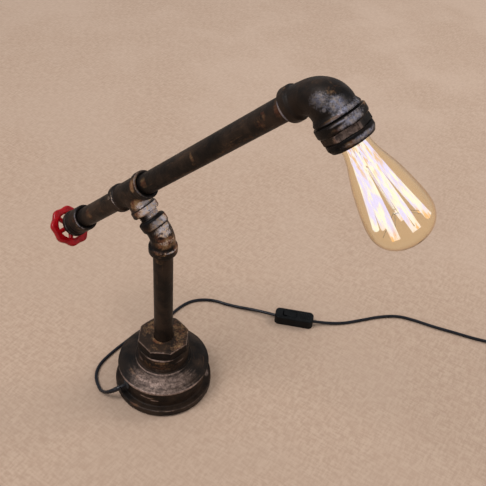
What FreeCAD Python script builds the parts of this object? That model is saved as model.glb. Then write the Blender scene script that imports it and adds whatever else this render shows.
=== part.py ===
import FreeCAD, Part
import math
import os
from FreeCAD import Vector

# Industrial pipe table lamp, millimetres, +Z up.
# The origin is the centre of the base's underside, on the riser's axis.
# The lamp leans in the XZ plane: its bulb is on the +X side and its handwheel on the -X side.

# ---------------------------------------------------------------- pipe and fittings
PIPE_R = 10.65            # 1/2 inch steel pipe, 21.3 outside diameter
PIPE_WALL = 2.65
NIPPLE_R = 10.4           # crest of the short nipple's thread
THREAD_DEPTH = 0.85
THREAD_PITCH = 1.814
ENGAGEMENT = 13.0         # how far a pipe end goes into a fitting
SCREWED_GAP = 0.03        # radial gap of a thread that stays put
SWIVEL_GAP = 0.05         # radial gap of a thread that the lamp turns on
FACE_GAP = 0.3            # gap between faces that turn past each other
BODY_R = 12.9             # fitting body
BAND_R = 14.7             # reinforcing band at a fitting's mouth
ELBOW_BAND_R = 15.2
BAND_WIDTH = 10.0
TEE_BAND_WIDTH = 7.2
BAND_ROUND = 2.4
BORE_R = PIPE_R - PIPE_WALL

# ---------------------------------------------------------------- base
PAD_THICK = 1.5
PAD_R = 55.0
FLANGE_R = 57.15          # 4 inch pipe size
FLANGE_TOP = 10.3
GROOVE_R = 49.5
RIM_BOTTOM = 35.2
RIM_TOP = 37.2
RIM_R = 53.6
SHOULDER_R = 44.0
SHOULDER_TOP = 42.9
SHOULDER_ROUND = 34.0
BEAD_R = 33.6               # raised bead round the neck's foot
BEAD_FOOT = 45.2
BEAD_HIGH = 1.6
NECK_FOOT = 46.4
NECK_R = 29.6
NECK_TOP = 67.6
BELL_WALL = 5.5
PLATE_THICK = 2.5
PLATE_R = 48.5
PLATE_SCREWS = 3
PLATE_SCREW_CIRCLE = 38.5
M4_R = 2.0
M4_HEAD_R = 3.9
M4_LENGTH = 12.0
BOSS_R = 5.5
BOSS_HEIGHT = 13.0

# ---------------------------------------------------------------- octagon bushing and riser
OCTAGON_R = 30.2          # centre to corner
OCTAGON_HEIGHT = 12.0
OCTAGON_TURN = 8.5        # degrees from +X to a corner
BUSHING_THREAD_R = 24.0
BUSHING_THREAD = 15.0
OCTAGON_CHAMFER = 1.0
LEAN = 45.0               # the elbow on the riser leans back by this
ELBOW_HEIGHT = 231.3      # where the riser's and the nipple's axes cross
ELBOW_REACH = 22.5        # centre of a 45 degree elbow to its mouth
ELBOW_BEND_R = 22.0

# ---------------------------------------------------------------- tee, arm and head
NIPPLE_SHOWS = 6.0
TEE_BRANCH = 25.6         # centre of the tee to its branch mouth
TEE_RUN = 25.4            # centre of the tee to its run mouths
ARM_LENGTH = 264.8        # tee centre to head elbow centre
HEAD_INLET = 35.5         # head elbow centre to its small mouth
HEAD_OUTLET = 32.6        # head elbow centre to its large mouth
HEAD_BEND_R = 17.0
HEAD_BODY_R = 18.6
HEAD_BAND_R = 22.3
HEAD_BAND_WIDTH = 8.2
HEAD_SWELL_R = 20.6       # the body swells to this before the groove behind its band
HEAD_GROOVE_R = 19.4
HEAD_GROOVE = 1.2
HEAD_THREAD_R = 17.0
HEXAGON_R = 21.3
HEXAGON_HEIGHT = 6.6
HEXAGON_TURN = 23.0

# ---------------------------------------------------------------- lampholder and bulb
CAP_R = 13.1              # E27 cap
CAP_LENGTH = 22.0
SHELL_WALL = 0.35
SHELL_GAP = 0.35          # cap to brass shell, all round
INSULATOR_WALL = 1.5
HOLDER_BACK = 13.0        # rear face of the insulator, from the head elbow's centre
HOLDER_FLOOR = 6.0
HOLDER_FRONT = 45.0
RING_R = 20.6
RING_FRONT = 47.4
RING_NOTCHES = 12
CONTACT_TIP = 22.0        # where the bulb's contact touches, from the head elbow's centre
GLASS_WALL = 0.8
# outline of the bulb from the cap to its tip: distance from the head elbow's centre, radius
BULB_OUTLINE = [
    (47.6, 12.2), (53.0, 12.6), (61.0, 14.5), (70.0, 17.7), (80.0, 21.1), (91.0, 23.9),
    (103.0, 26.5), (114.0, 28.0), (123.0, 27.3), (131.0, 23.6), (137.0, 17.0), (140.2, 9.0),
]
BULB_TIP = 141.3
STEM_R = 4.2
FILAMENT_R = 0.35
FILAMENT_LEGS = 14
HOOK_WIRE_R = 0.2

# ---------------------------------------------------------------- rear end and handwheel
REAR_PIPE_SHOWS = 71.3
COUPLING_LENGTH = 16.0
COUPLING_R = 14.4
COUPLING_GRIP = 5.5
PLUG_NECK = 0.6
PLUG_NECK_R = 12.8
PLUG_BODY = 5.4
PLUG_BODY_R = 13.9
PLUG_FLANGE = 5.4
PLUG_FLANGE_R = 15.0
SPINDLE_R = 4.0
CLIP_R = 7.0
CLIP_THICK = 1.0
WHEEL_R = 22.8
WHEEL_LOBES = 8
WHEEL_LOBE = 0.9
WHEEL_LOBE_TURN = 15.0
WHEEL_INNER_R = 14.6
WHEEL_THICK = 6.2
WHEEL_ROUND = 2.2
WHEEL_SPOKES = 6
WHEEL_SPOKE_TURN = 25.0
SPOKE_R = 2.6
HUB_R = 6.8
HUB_LENGTH = 12.0

# ---------------------------------------------------------------- cord, switch and plug
CORD_R = 2.0
FLOOR_CLEAR = 0.05
ON_FLOOR = CORD_R + FLOOR_CLEAR
EXIT_TURN = -112.0        # direction of the cord hole, degrees from +X
EXIT_HEIGHT = 22.0
GROMMET_R = 4.5
GROMMET_LIP_R = 6.2
GROMMET_LIP = 1.5
SWITCH_LENGTH = 51.0
SWITCH_WIDTH = 19.0
SWITCH_HEIGHT = 13.6
SWITCH_TURN = 23.8
SWITCH_CENTRE = (81.3, 176.5)
SWITCH_SPLIT = 6.5        # height of the seam between the switch's halves
SWITCH_WALL = 1.6
ROCKER_LENGTH = 17.0
ROCKER_WIDTH = 9.0
ROCKER_TILT = 8.0
ROCKER_PIVOT_R = 1.2
COIL_CENTRE = (356.0, 290.5)
COIL_MID_R = 22.0
COIL_BAND = 12.0          # width and height of the wound bundle
TIE_THICK = 1.0
TIE_GAP = 0.3
TIE_WIDTH = 8.0
TIE_TURN = -120.0
PLUG_TURN = -71.0
PLUG_OFF_COIL = 24.0       # along the turn that leaves the coil, from the coil's side to the plug
PLUG_LONG = 36.0
PLUG_WIDE = 24.0
PLUG_HIGH = 13.6
PIN_R = 2.0
PIN_LONG = 19.0
PIN_SPACING = 18.6
SLEEVE_R = 1.9
SLEEVE_LONG = 10.0
WIRE_R = 1.1
WIRE_SPACING = 2.6

# ---------------------------------------------------------------- places worked out from the sizes
UP = Vector(0, 0, 1)
SIDE = Vector(0, 1, 0)
ALONG = Vector(1, 0, 0)
CENTRE = Vector(0, 0, 0)


def tilted(origin, degrees):
    """A frame at origin whose Z leans from +Z toward +X by degrees."""
    return FreeCAD.Placement(origin, FreeCAD.Rotation(SIDE, degrees))


def floor_frame(x, y, z, degrees):
    """A frame that lies on the floor, with its X turned by degrees."""
    return FreeCAD.Placement(Vector(x, y, z), FreeCAD.Rotation(UP, degrees))


ELBOW_FRAME = tilted(Vector(0, 0, ELBOW_HEIGHT), 0)
NIPPLE_FRAME = tilted(ELBOW_FRAME.Base, -LEAN)
NIPPLE_DIRECTION = NIPPLE_FRAME.Rotation.multVec(UP)
TEE_AT = ELBOW_REACH + NIPPLE_SHOWS + TEE_BRANCH
ARM_FRAME = tilted(NIPPLE_FRAME.Base + NIPPLE_DIRECTION * TEE_AT, 90 - LEAN)
ARM_DIRECTION = ARM_FRAME.Rotation.multVec(UP)
HEAD_FRAME = tilted(ARM_FRAME.Base + ARM_DIRECTION * ARM_LENGTH, 180 - LEAN)
OCTAGON_TOP = NECK_TOP + OCTAGON_HEIGHT
PIPE_SOCKET_R = PIPE_R + SCREWED_GAP
BELL_BOTTOM = PAD_THICK
PLATE_TOP = BELL_BOTTOM + PLATE_THICK
CAVITY_R = GROOVE_R - BELL_WALL
REAR_MOUTH = -(TEE_RUN + REAR_PIPE_SHOWS)
COUPLING_END = REAR_MOUTH - COUPLING_LENGTH
PLUG_FACE = COUPLING_END - PLUG_NECK - PLUG_BODY - PLUG_FLANGE
WHEEL_PLANE = PLUG_FACE - 10.2
HUB_INNER = PLUG_FACE - 1.0
SHELL_INNER_R = CAP_R + SHELL_GAP
SHELL_OUTER_R = SHELL_INNER_R + SHELL_WALL
INSULATOR_R = SHELL_OUTER_R + INSULATOR_WALL
HOLDER_BORE_R = INSULATOR_R + SCREWED_GAP
SWITCH_FRAME = floor_frame(SWITCH_CENTRE[0], SWITCH_CENTRE[1], 0, SWITCH_TURN)
PLUG_FRAME = floor_frame(COIL_CENTRE[0], COIL_CENTRE[1], PLUG_HIGH / 2, PLUG_TURN)
PLUG_FRAME.Base = PLUG_FRAME.multVec(Vector(PLUG_OFF_COIL + PLUG_LONG / 2, COIL_MID_R, 0))
EXIT_FRAME = FreeCAD.Placement(Vector(0, 0, EXIT_HEIGHT), FreeCAD.Rotation(UP, EXIT_TURN))


# ---------------------------------------------------------------- drawing helpers
def outline(corners):
    """A closed wire in the XZ plane. A corner is (x, z) or (x, z, radius of its round)."""
    points = [Vector(corner[0], 0, corner[1]) for corner in corners]
    starts, middles, ends = [], [], []
    for index, point in enumerate(points):
        before = (points[index - 1] - point).normalize()
        after = (points[(index + 1) % len(points)] - point).normalize()
        radius = corners[index][2] if len(corners[index]) > 2 else 0
        half = before.getAngle(after) / 2
        setback = radius / math.tan(half)
        starts.append(point + before * setback)
        ends.append(point + after * setback)
        bisector = (before + after).normalize()
        middles.append(point + bisector * (radius / math.sin(half) - radius))
    edges = []
    for index, corner in enumerate(corners):
        if ends[index - 1].distanceToPoint(starts[index]) > 1e-6:
            edges.append(Part.makeLine(ends[index - 1], starts[index]))
        if len(corner) > 2:
            edges.append(Part.Arc(starts[index], middles[index], ends[index]).toShape())
    return Part.Wire(edges)


def lathe(corners):
    """A solid turned about Z from (radius, height) corners."""
    return Part.Face(outline(corners)).revolve(CENTRE, UP, 360)


def cylinder(radius, low, high, centre=(0, 0)):
    return Part.makeCylinder(radius, high - low, Vector(centre[0], centre[1], low))


def ring(outer, inner, low, high, round_off=0.5):
    """A turned ring with its outer edges rounded."""
    return lathe([(inner, low), (outer, low, round_off), (outer, high, round_off), (inner, high)])


def block(long, wide, low, high, round_off=0):
    """A box centred on Z, with its upright edges rounded."""
    shape = Part.makeBox(long, wide, high - low, Vector(-long / 2, -wide / 2, low))
    if round_off:
        upright = [edge for edge in shape.Edges if abs(edge.tangentAt(edge.FirstParameter).z) > 0.9]
        shape = shape.makeFillet(round_off, upright)
    return shape


def prism(sides, corner_r, low, high, turn):
    """A regular prism about Z whose first corner is turned by turn degrees."""
    angles = [math.radians(turn + 360.0 * side / sides) for side in range(sides + 1)]
    points = [Vector(corner_r * math.cos(angle), corner_r * math.sin(angle), low) for angle in angles]
    return Part.Face(Part.makePolygon(points)).extrude(Vector(0, 0, high - low))


def turned(shape, axis, degrees):
    copy = shape.copy()
    copy.rotate(CENTRE, axis, degrees)
    return copy


def lifted(shape, height):
    copy = shape.copy()
    copy.translate(Vector(0, 0, height))
    return copy


def joined(shapes):
    return shapes[0].multiFuse(shapes[1:]).removeSplitter()


def placed(shape, frame):
    copy = shape.copy()
    copy.transformShape(frame.toMatrix(), True)
    return copy


def leg(body_r, band_r, band_width, end, mouth_round, start=0):
    """The outside of one arm of a fitting, from start to its mouth."""
    slope = band_r - body_r
    return lathe([
        (0, start), (body_r, start), (body_r, end - band_width - slope, BAND_ROUND),
        (band_r, end - band_width, 1.5), (band_r, end, mouth_round), (0, end),
    ])


def socket(radius, end, start=0):
    """What is bored out of one arm of a fitting, from start to its mouth."""
    seat = end - ENGAGEMENT - FACE_GAP
    return lathe([
        (0, start), (BORE_R, start), (BORE_R, seat), (radius, seat), (radius, end - 1.0),
        (radius + 1.0, end), (0, end),
    ])


def bend(section_r, bend_r, start, degrees):
    """A round bend that starts on Z at height start and turns toward -X."""
    circle = Part.Wire(Part.makeCircle(section_r, Vector(0, 0, start), UP))
    return Part.Face(circle).revolve(Vector(-bend_r, 0, start), Vector(0, -1, 0), degrees)


def path_wire(points, bend_share=0.45):
    """Straight runs joined by tangent arcs, each as large as its two runs allow."""
    points = [Vector(*point) for point in points]
    edges, radii = [], []
    reached = points[0]
    for before, here, after in zip(points, points[1:], points[2:]):
        arrive = (before - here)
        leave = (after - here)
        setback = bend_share * min(arrive.Length, leave.Length)
        arrive.normalize()
        leave.normalize()
        half = arrive.getAngle(leave) / 2
        radius = setback * math.tan(half)
        bisector = (arrive + leave).normalize()
        middle = here + bisector * (radius / math.sin(half) - radius)
        start, end = here + arrive * setback, here + leave * setback
        edges.append(Part.makeLine(reached, start))
        edges.append(Part.Arc(start, middle, end).toShape())
        radii.append(radius)
        reached = end
    edges.append(Part.makeLine(reached, points[-1]))
    return Part.Wire(edges), radii


def cable(points, radius):
    """A round cable along the points, with its length and its bend radii."""
    wire, radii = path_wire(points)
    heading = (Vector(*points[1]) - Vector(*points[0])).normalize()
    circle = Part.Wire(Part.makeCircle(radius, Vector(*points[0]), heading))
    return wire.makePipeShell([circle], True, False), wire.Length, radii


def wire_pair(points, across=SIDE):
    """Two insulated wires side by side along one route."""
    offset = Vector(across).normalize() * (WIRE_SPACING / 2)
    return [cable([tuple(Vector(*point) + offset * sign) for point in points], WIRE_R)[0] for sign in (1, -1)]


# ---------------------------------------------------------------- base
def base_bell():
    """Cast bell: a flange, a recessed band, a domed shoulder and a threaded neck."""
    inner_top = RIM_BOTTOM + 1.0
    bell = lathe([
        (PLATE_R + 0.5, BELL_BOTTOM), (FLANGE_R, BELL_BOTTOM, 1.2), (FLANGE_R, FLANGE_TOP, 1.6),
        (GROOVE_R, FLANGE_TOP, 1.5), (GROOVE_R, RIM_BOTTOM - 1.2, 1.2), (RIM_R, RIM_BOTTOM, 0.7),
        (RIM_R, RIM_TOP, 2.0), (SHOULDER_R, SHOULDER_TOP, SHOULDER_ROUND), (BEAD_R, BEAD_FOOT, 0.5),
        (BEAD_R - 1.0, BEAD_FOOT + BEAD_HIGH, 0.7), (NECK_R, NECK_FOOT, 1.2), (NECK_R, NECK_TOP, 1.2),
        (BUSHING_THREAD_R + SCREWED_GAP, NECK_TOP), (BUSHING_THREAD_R + SCREWED_GAP, NECK_FOOT - BELL_WALL),
        (CAVITY_R - 8, inner_top, 5.0),
        (CAVITY_R, inner_top - 8, 5.0), (CAVITY_R, PLATE_TOP), (PLATE_R + 0.5, PLATE_TOP),
    ])
    bosses = []
    for index in range(PLATE_SCREWS):
        boss = cylinder(BOSS_R, PLATE_TOP, PLATE_TOP + BOSS_HEIGHT, (PLATE_SCREW_CIRCLE, 0))
        corner = Vector(PLATE_SCREW_CIRCLE, -BOSS_R, PLATE_TOP)
        web = Part.makeBox(BOSS_R + 3, 2 * BOSS_R, BOSS_HEIGHT, corner)
        hole = cylinder(M4_R + SCREWED_GAP, PLATE_TOP, PLATE_TOP + M4_LENGTH, (PLATE_SCREW_CIRCLE, 0))
        within = cylinder(CAVITY_R + 1.0, PLATE_TOP, PLATE_TOP + BOSS_HEIGHT)
        bosses.append(turned(boss.fuse(web).common(within).cut(hole), UP, plate_screw_angle(index)))
    bell = joined([bell] + bosses)
    return bell.cut(placed(turned(cylinder(GROMMET_R + SCREWED_GAP, 0, FLANGE_R), SIDE, 90), EXIT_FRAME))


def plate_screw_angle(index):
    return EXIT_TURN + 60 + 360.0 * index / PLATE_SCREWS


def at_plate_screws(shape):
    """Copies of a shape at every plate screw."""
    moved = shape.copy()
    moved.translate(Vector(PLATE_SCREW_CIRCLE, 0, 0))
    return [turned(moved, UP, plate_screw_angle(index)) for index in range(PLATE_SCREWS)]


def countersink(gap):
    """A countersunk head's cone and shank, standing on the plate's underside."""
    head = M4_HEAD_R - M4_R
    return lathe([
        (0, BELL_BOTTOM), (M4_HEAD_R + gap, BELL_BOTTOM), (M4_R + gap, BELL_BOTTOM + head),
        (M4_R + gap, PLATE_TOP), (0, PLATE_TOP),
    ])


def base_plate():
    plate = cylinder(PLATE_R, BELL_BOTTOM, PLATE_TOP)
    for hole in at_plate_screws(countersink(0.1)):
        plate = plate.cut(hole)
    return plate.cut(cylinder(1.5, BELL_BOTTOM, PLATE_TOP, TERMINAL_CENTRE))


def base_pad():
    return lathe([(0, 0), (PAD_R, 0, 0.4), (PAD_R, PAD_THICK), (0, PAD_THICK)])


def plate_screws():
    shank = cylinder(M4_R, PLATE_TOP, BELL_BOTTOM + M4_LENGTH)
    slot = Part.makeBox(2 * M4_HEAD_R, 1.0, 0.9, Vector(-M4_HEAD_R, -0.5, BELL_BOTTOM))
    return at_plate_screws(countersink(0).fuse(shank).cut(slot))


def cord_grommet():
    """Rubber grommet in the cord hole, with a lip on each side of the wall."""
    inside, outside = CAVITY_R - 1.3, GROOVE_R
    bush = lathe([
        (CORD_R + 0.15, inside - GROMMET_LIP), (GROMMET_LIP_R, inside - GROMMET_LIP, 0.6),
        (GROMMET_LIP_R, inside, 0.3), (GROMMET_R, inside), (GROMMET_R, outside + 0.1),
        (GROMMET_LIP_R, outside + 0.1, 0.3), (GROMMET_LIP_R - 0.8, outside + GROMMET_LIP, 0.6),
        (CORD_R + 0.15, outside + GROMMET_LIP + 0.6),
    ])
    return placed(turned(bush, SIDE, 90), EXIT_FRAME)


def cord_stop():
    """Collar clamped on the cord inside the base, so that a pull can't reach the terminals."""
    face = CAVITY_R - 1.3 - GROMMET_LIP
    collar = ring(5.2, CORD_R, face - 9.0, face - 0.1, 0.8)
    return placed(turned(collar, SIDE, 90), EXIT_FRAME)


TERMINAL_CENTRE = (0.0, 14.0)
TERMINAL_LONG = 22.0
TERMINAL_WIDE = 16.0
TERMINAL_HIGH = 13.0
TERMINAL_WIRE_HEIGHT = PLATE_TOP + 8.0


def terminal_block():
    body = block(TERMINAL_LONG, TERMINAL_WIDE, PLATE_TOP, PLATE_TOP + TERMINAL_HIGH, 1.0)
    for x in (-5.5, 5.5):
        for y in (-4.5, 4.5):
            body = body.cut(cylinder(2.2, PLATE_TOP + TERMINAL_HIGH - 3.0, PLATE_TOP + TERMINAL_HIGH, (x, y)))
    body = body.cut(cylinder(1.5 + SCREWED_GAP, PLATE_TOP, PLATE_TOP + 6.0))
    return placed(body, floor_frame(TERMINAL_CENTRE[0], TERMINAL_CENTRE[1], 0, 0))


def terminal_screws():
    """Four clamping screws on top of the block and the one that holds it to the plate."""
    clamp = cylinder(2.0, PLATE_TOP + TERMINAL_HIGH - 3.0, PLATE_TOP + TERMINAL_HIGH - 0.6)
    clamp = clamp.cut(Part.makeBox(4.0, 0.7, 0.8, Vector(-2.0, -0.35, PLATE_TOP + TERMINAL_HIGH - 1.4)))
    screws = []
    for x in (-5.5, 5.5):
        for y in (-4.5, 4.5):
            screws.append(placed(clamp, floor_frame(TERMINAL_CENTRE[0] + x, TERMINAL_CENTRE[1] + y, 0, 0)))
    holder = cylinder(1.5 - SCREWED_GAP, BELL_BOTTOM + 0.1, PLATE_TOP + 5.5)
    return screws + [placed(holder, floor_frame(TERMINAL_CENTRE[0], TERMINAL_CENTRE[1], 0, 0))]


def exit_point(distance, height=EXIT_HEIGHT):
    angle = math.radians(EXIT_TURN)
    return (distance * math.cos(angle), distance * math.sin(angle), height)


def inner_cord():
    """The cord inside the base, from the grommet to the terminal block."""
    block_face = (TERMINAL_CENTRE[0], TERMINAL_CENTRE[1] - TERMINAL_WIDE / 2, TERMINAL_WIRE_HEIGHT)
    points = [
        exit_point(CORD_START), exit_point(24.0), exit_point(12.0, EXIT_HEIGHT - 4.5),
        (block_face[0], block_face[1] - 10.0, block_face[2]), block_face,
    ]
    return cable(points, CORD_R)[0]


# ---------------------------------------------------------------- riser and leaning elbow
def riser_bushing():
    """Octagon-headed bushing that reduces the bell's neck to the riser's thread."""
    head = prism(8, OCTAGON_R, NECK_TOP, OCTAGON_TOP, OCTAGON_TURN)
    crown = lathe([
        (0, NECK_TOP), (OCTAGON_R - OCTAGON_CHAMFER, NECK_TOP), (OCTAGON_R + 0.3, NECK_TOP + OCTAGON_CHAMFER),
        (OCTAGON_R + 0.3, OCTAGON_TOP - OCTAGON_CHAMFER), (OCTAGON_R - 2 * OCTAGON_CHAMFER, OCTAGON_TOP),
        (0, OCTAGON_TOP),
    ])
    shank = cylinder(BUSHING_THREAD_R, NECK_TOP - BUSHING_THREAD, NECK_TOP)
    bore = cylinder(BORE_R + 2.0, NECK_TOP - BUSHING_THREAD, OCTAGON_TOP)
    seat = lathe([
        (0, OCTAGON_TOP - 16.0), (PIPE_SOCKET_R, OCTAGON_TOP - 16.0), (PIPE_SOCKET_R, OCTAGON_TOP - 1.2),
        (PIPE_SOCKET_R + 1.2, OCTAGON_TOP), (0, OCTAGON_TOP),
    ])
    return head.common(crown).fuse(shank).cut(bore).cut(seat)


def pipe(low, high):
    """A length of pipe with its ends chamfered."""
    return lathe([
        (BORE_R, low), (PIPE_R - 0.8, low), (PIPE_R, low + 0.8), (PIPE_R, high - 0.8),
        (PIPE_R - 0.8, high), (BORE_R, high),
    ])


RISER_FOOT = OCTAGON_TOP - 15.5
RISER_HEAD = ELBOW_HEIGHT - ELBOW_REACH + ENGAGEMENT
WIRES_LEAN_IN = 13.0       # heights above the terminal block at which the wires turn
WIRES_UPRIGHT = 31.0


def riser_pipe():
    return pipe(RISER_FOOT, RISER_HEAD)


def riser_wires():
    top = RISER_HEAD - 0.5
    block_top = (TERMINAL_CENTRE[0], TERMINAL_CENTRE[1] + 3.0, PLATE_TOP + TERMINAL_HIGH)
    halfway = (block_top[1] - 4.0) / 2 + 2.0
    points = [
        (block_top[0], block_top[1] - 4.0, block_top[2]), (0, halfway, block_top[2] + WIRES_LEAN_IN),
        (0, 0, block_top[2] + WIRES_UPRIGHT), (0, 0, top),
    ]
    return wire_pair(points, ALONG)


def lean_elbow():
    """45 degree elbow that turns on the riser's top thread."""
    start = ELBOW_BEND_R * math.tan(math.radians(LEAN / 2))
    lower = turned(leg(BODY_R, ELBOW_BAND_R, BAND_WIDTH, ELBOW_REACH, 3.0, start), ALONG, 180)
    upper = turned(leg(BODY_R, BAND_R, BAND_WIDTH, ELBOW_REACH, 3.0, start), SIDE, -LEAN)
    outside = bend(BODY_R, ELBOW_BEND_R, -start, LEAN).multiFuse([lower, upper])
    lower_bore = turned(socket(PIPE_R + SWIVEL_GAP, ELBOW_REACH, start), ALONG, 180)
    upper_bore = turned(socket(NIPPLE_R + SCREWED_GAP, ELBOW_REACH, start), SIDE, -LEAN)
    inside = bend(BORE_R, ELBOW_BEND_R, -start, LEAN).multiFuse([lower_bore, upper_bore])
    return placed(outside.cut(inside), ELBOW_FRAME)


NIPPLE_LOW = ELBOW_REACH - ENGAGEMENT
NIPPLE_HIGH = ELBOW_REACH + NIPPLE_SHOWS + ENGAGEMENT


def branch_nipple():
    """Short all-thread nipple between the leaning elbow and the tee."""
    corners = [(BORE_R, NIPPLE_LOW), (NIPPLE_R - THREAD_DEPTH, NIPPLE_LOW)]
    turns = int((NIPPLE_HIGH - NIPPLE_LOW - THREAD_PITCH) / THREAD_PITCH)
    first = (NIPPLE_LOW + NIPPLE_HIGH - turns * THREAD_PITCH) / 2
    for index in range(turns):
        foot = first + index * THREAD_PITCH
        corners.append((NIPPLE_R - THREAD_DEPTH, foot))
        corners.append((NIPPLE_R, foot + 0.42 * THREAD_PITCH))
        corners.append((NIPPLE_R, foot + 0.58 * THREAD_PITCH))
    corners += [(NIPPLE_R - THREAD_DEPTH, first + turns * THREAD_PITCH)]
    corners += [(NIPPLE_R - THREAD_DEPTH, NIPPLE_HIGH), (BORE_R, NIPPLE_HIGH)]
    return placed(lathe(corners), NIPPLE_FRAME)


def elbow_wires():
    base = ELBOW_FRAME.Base
    start = base + Vector(0, 0, -ELBOW_REACH + ENGAGEMENT)
    end = base + NIPPLE_DIRECTION * (NIPPLE_HIGH - 0.3)
    return wire_pair([tuple(start), tuple(base), tuple(end)])


# ---------------------------------------------------------------- tee and arm
def tee():
    """Tee whose branch turns on the nipple, with the arm in its run."""
    run = leg(BODY_R, BAND_R, TEE_BAND_WIDTH, TEE_RUN, 0.9)
    branch = turned(leg(BODY_R, BAND_R, TEE_BAND_WIDTH, TEE_BRANCH, 1.8), SIDE, 90)
    solid = joined([run, turned(run, SIDE, 180), branch])
    bore = socket(PIPE_SOCKET_R, TEE_RUN)
    branch_bore = turned(socket(NIPPLE_R + SWIVEL_GAP, TEE_BRANCH), SIDE, 90)
    return placed(solid.cut(bore).cut(turned(bore, SIDE, 180)).cut(branch_bore), ARM_FRAME)


ARM_START = TEE_RUN - ENGAGEMENT
ARM_END = ARM_LENGTH - HEAD_INLET + ENGAGEMENT


def arm_pipe():
    return placed(pipe(ARM_START, ARM_END), ARM_FRAME)


def arm_wires():
    start = ARM_FRAME.Base - NIPPLE_DIRECTION * (TEE_BRANCH - ENGAGEMENT - 0.3)
    end = ARM_FRAME.Base + ARM_DIRECTION * (ARM_END - 0.3)
    return wire_pair([tuple(start), tuple(ARM_FRAME.Base), tuple(end)])


def rear_pipe():
    return placed(pipe(REAR_MOUTH - COUPLING_GRIP, -ARM_START), ARM_FRAME)


def rear_coupling():
    """Short banded coupling on the arm's rear end."""
    socket_r = PIPE_SOCKET_R
    return placed(lathe([
        (socket_r + 0.8, COUPLING_END), (COUPLING_R - 0.6, COUPLING_END, 1.0),
        (COUPLING_R, COUPLING_END + 3.0, 2.0), (COUPLING_R, REAR_MOUTH, 0.9), (socket_r + 0.8, REAR_MOUTH),
        (socket_r, REAR_MOUTH - 0.8), (socket_r, COUPLING_END + 0.8),
    ]), ARM_FRAME)


def rear_plug():
    """Round gland that closes the coupling and carries the handwheel's spindle."""
    shank_end = COUPLING_END + COUPLING_GRIP
    neck, flange = COUPLING_END - PLUG_NECK, PLUG_FACE + PLUG_FLANGE
    return placed(lathe([
        (SPINDLE_R + SWIVEL_GAP, PLUG_FACE), (PLUG_FLANGE_R, PLUG_FACE, 1.4), (PLUG_FLANGE_R, flange, 0.8),
        (PLUG_BODY_R, flange, 0.4), (PLUG_BODY_R, neck, 0.8), (PLUG_NECK_R, neck),
        (PLUG_NECK_R, COUPLING_END), (PIPE_R, COUPLING_END), (PIPE_R, shank_end, 0.8),
        (SPINDLE_R + SWIVEL_GAP, shank_end),
    ]), ARM_FRAME)


# ---------------------------------------------------------------- handwheel
SHANK_FACE = COUPLING_END + COUPLING_GRIP
HUB_OUTER = HUB_INNER - HUB_LENGTH


def wheel_spindle():
    """Spindle that runs in the gland, with a square end for the wheel."""
    run = cylinder(SPINDLE_R, HUB_INNER, SHANK_FACE + 2.0 * CLIP_THICK + 1.2)
    low = SHANK_FACE + FACE_GAP
    groove = ring(SPINDLE_R + 1, SPINDLE_R - 0.8, low, low + CLIP_THICK, 0.1)
    square = block(1.3 * SPINDLE_R, 1.3 * SPINDLE_R, HUB_OUTER + 1.0, HUB_INNER)
    thread = cylinder(1.5 + SCREWED_GAP, HUB_OUTER, HUB_OUTER + 8.0)
    return placed(run.cut(groove).fuse(square).cut(thread), ARM_FRAME)


def spindle_clip():
    """Spring clip that keeps the spindle in the gland."""
    low = SHANK_FACE + FACE_GAP
    clip = ring(CLIP_R, SPINDLE_R - 0.75, low + 0.05, low + CLIP_THICK - 0.05, 0.2)
    return placed(clip.cut(Part.makeBox(CLIP_R, 3.0, 3.0, Vector(0, -1.5, low - 1.0))), ARM_FRAME)


def lobed_rim():
    """The wheel's rim, with a wavy outside to grip and a round inside."""
    steps = 6 * WHEEL_LOBES
    low = WHEEL_PLANE - WHEEL_THICK / 2
    points = []
    for index in range(steps):
        angle = 2 * math.pi * index / steps
        radius = WHEEL_R + WHEEL_LOBE * math.cos(WHEEL_LOBES * (angle - math.radians(WHEEL_LOBE_TURN)))
        points.append(Vector(radius * math.cos(angle), radius * math.sin(angle), low))
    curve = Part.BSplineCurve()
    curve.interpolate(points, PeriodicFlag=True)
    disc = Part.Face(Part.Wire(curve.toShape())).extrude(Vector(0, 0, WHEEL_THICK))
    rim = disc.cut(cylinder(WHEEL_INNER_R, WHEEL_PLANE - WHEEL_THICK, WHEEL_PLANE + WHEEL_THICK))
    flat_edges = [edge for edge in rim.Edges if abs(edge.BoundBox.ZLength) < 1e-6]
    return rim.makeFillet(WHEEL_ROUND, flat_edges)


def handwheel():
    """Cast handwheel: a lobed rim, round spokes and a hub with a square hole."""
    spokes = []
    for index in range(WHEEL_SPOKES):
        spoke = turned(cylinder(SPOKE_R, HUB_R - 2.0, WHEEL_INNER_R + 2.0), SIDE, 90)
        spokes.append(lifted(turned(spoke, UP, WHEEL_SPOKE_TURN + 360.0 * index / WHEEL_SPOKES), WHEEL_PLANE))
    hub = lathe([(0, HUB_OUTER), (HUB_R, HUB_OUTER, 1.0), (HUB_R, HUB_INNER, 1.5), (0, HUB_INNER)])
    wheel = joined([lobed_rim(), hub] + spokes)
    square = block(1.3 * SPINDLE_R + 0.06, 1.3 * SPINDLE_R + 0.06, HUB_OUTER, HUB_INNER)
    return placed(wheel.cut(square), ARM_FRAME)


def wheel_washer():
    return placed(ring(5.0, 1.6, HUB_OUTER - 0.9, HUB_OUTER, 0.2), ARM_FRAME)


def wheel_screw():
    """Pan-head screw on the end of the spindle."""
    seat = HUB_OUTER - 0.9
    head = lathe([(0, seat - 2.2), (3.2, seat - 2.2, 1.6), (3.2, seat), (0, seat)])
    slot = Part.makeBox(7.0, 0.9, 1.0, Vector(-3.5, -0.45, seat - 2.2))
    return placed(head.cut(slot).fuse(cylinder(1.5, seat, HUB_OUTER + 7.5)), ARM_FRAME)


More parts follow.
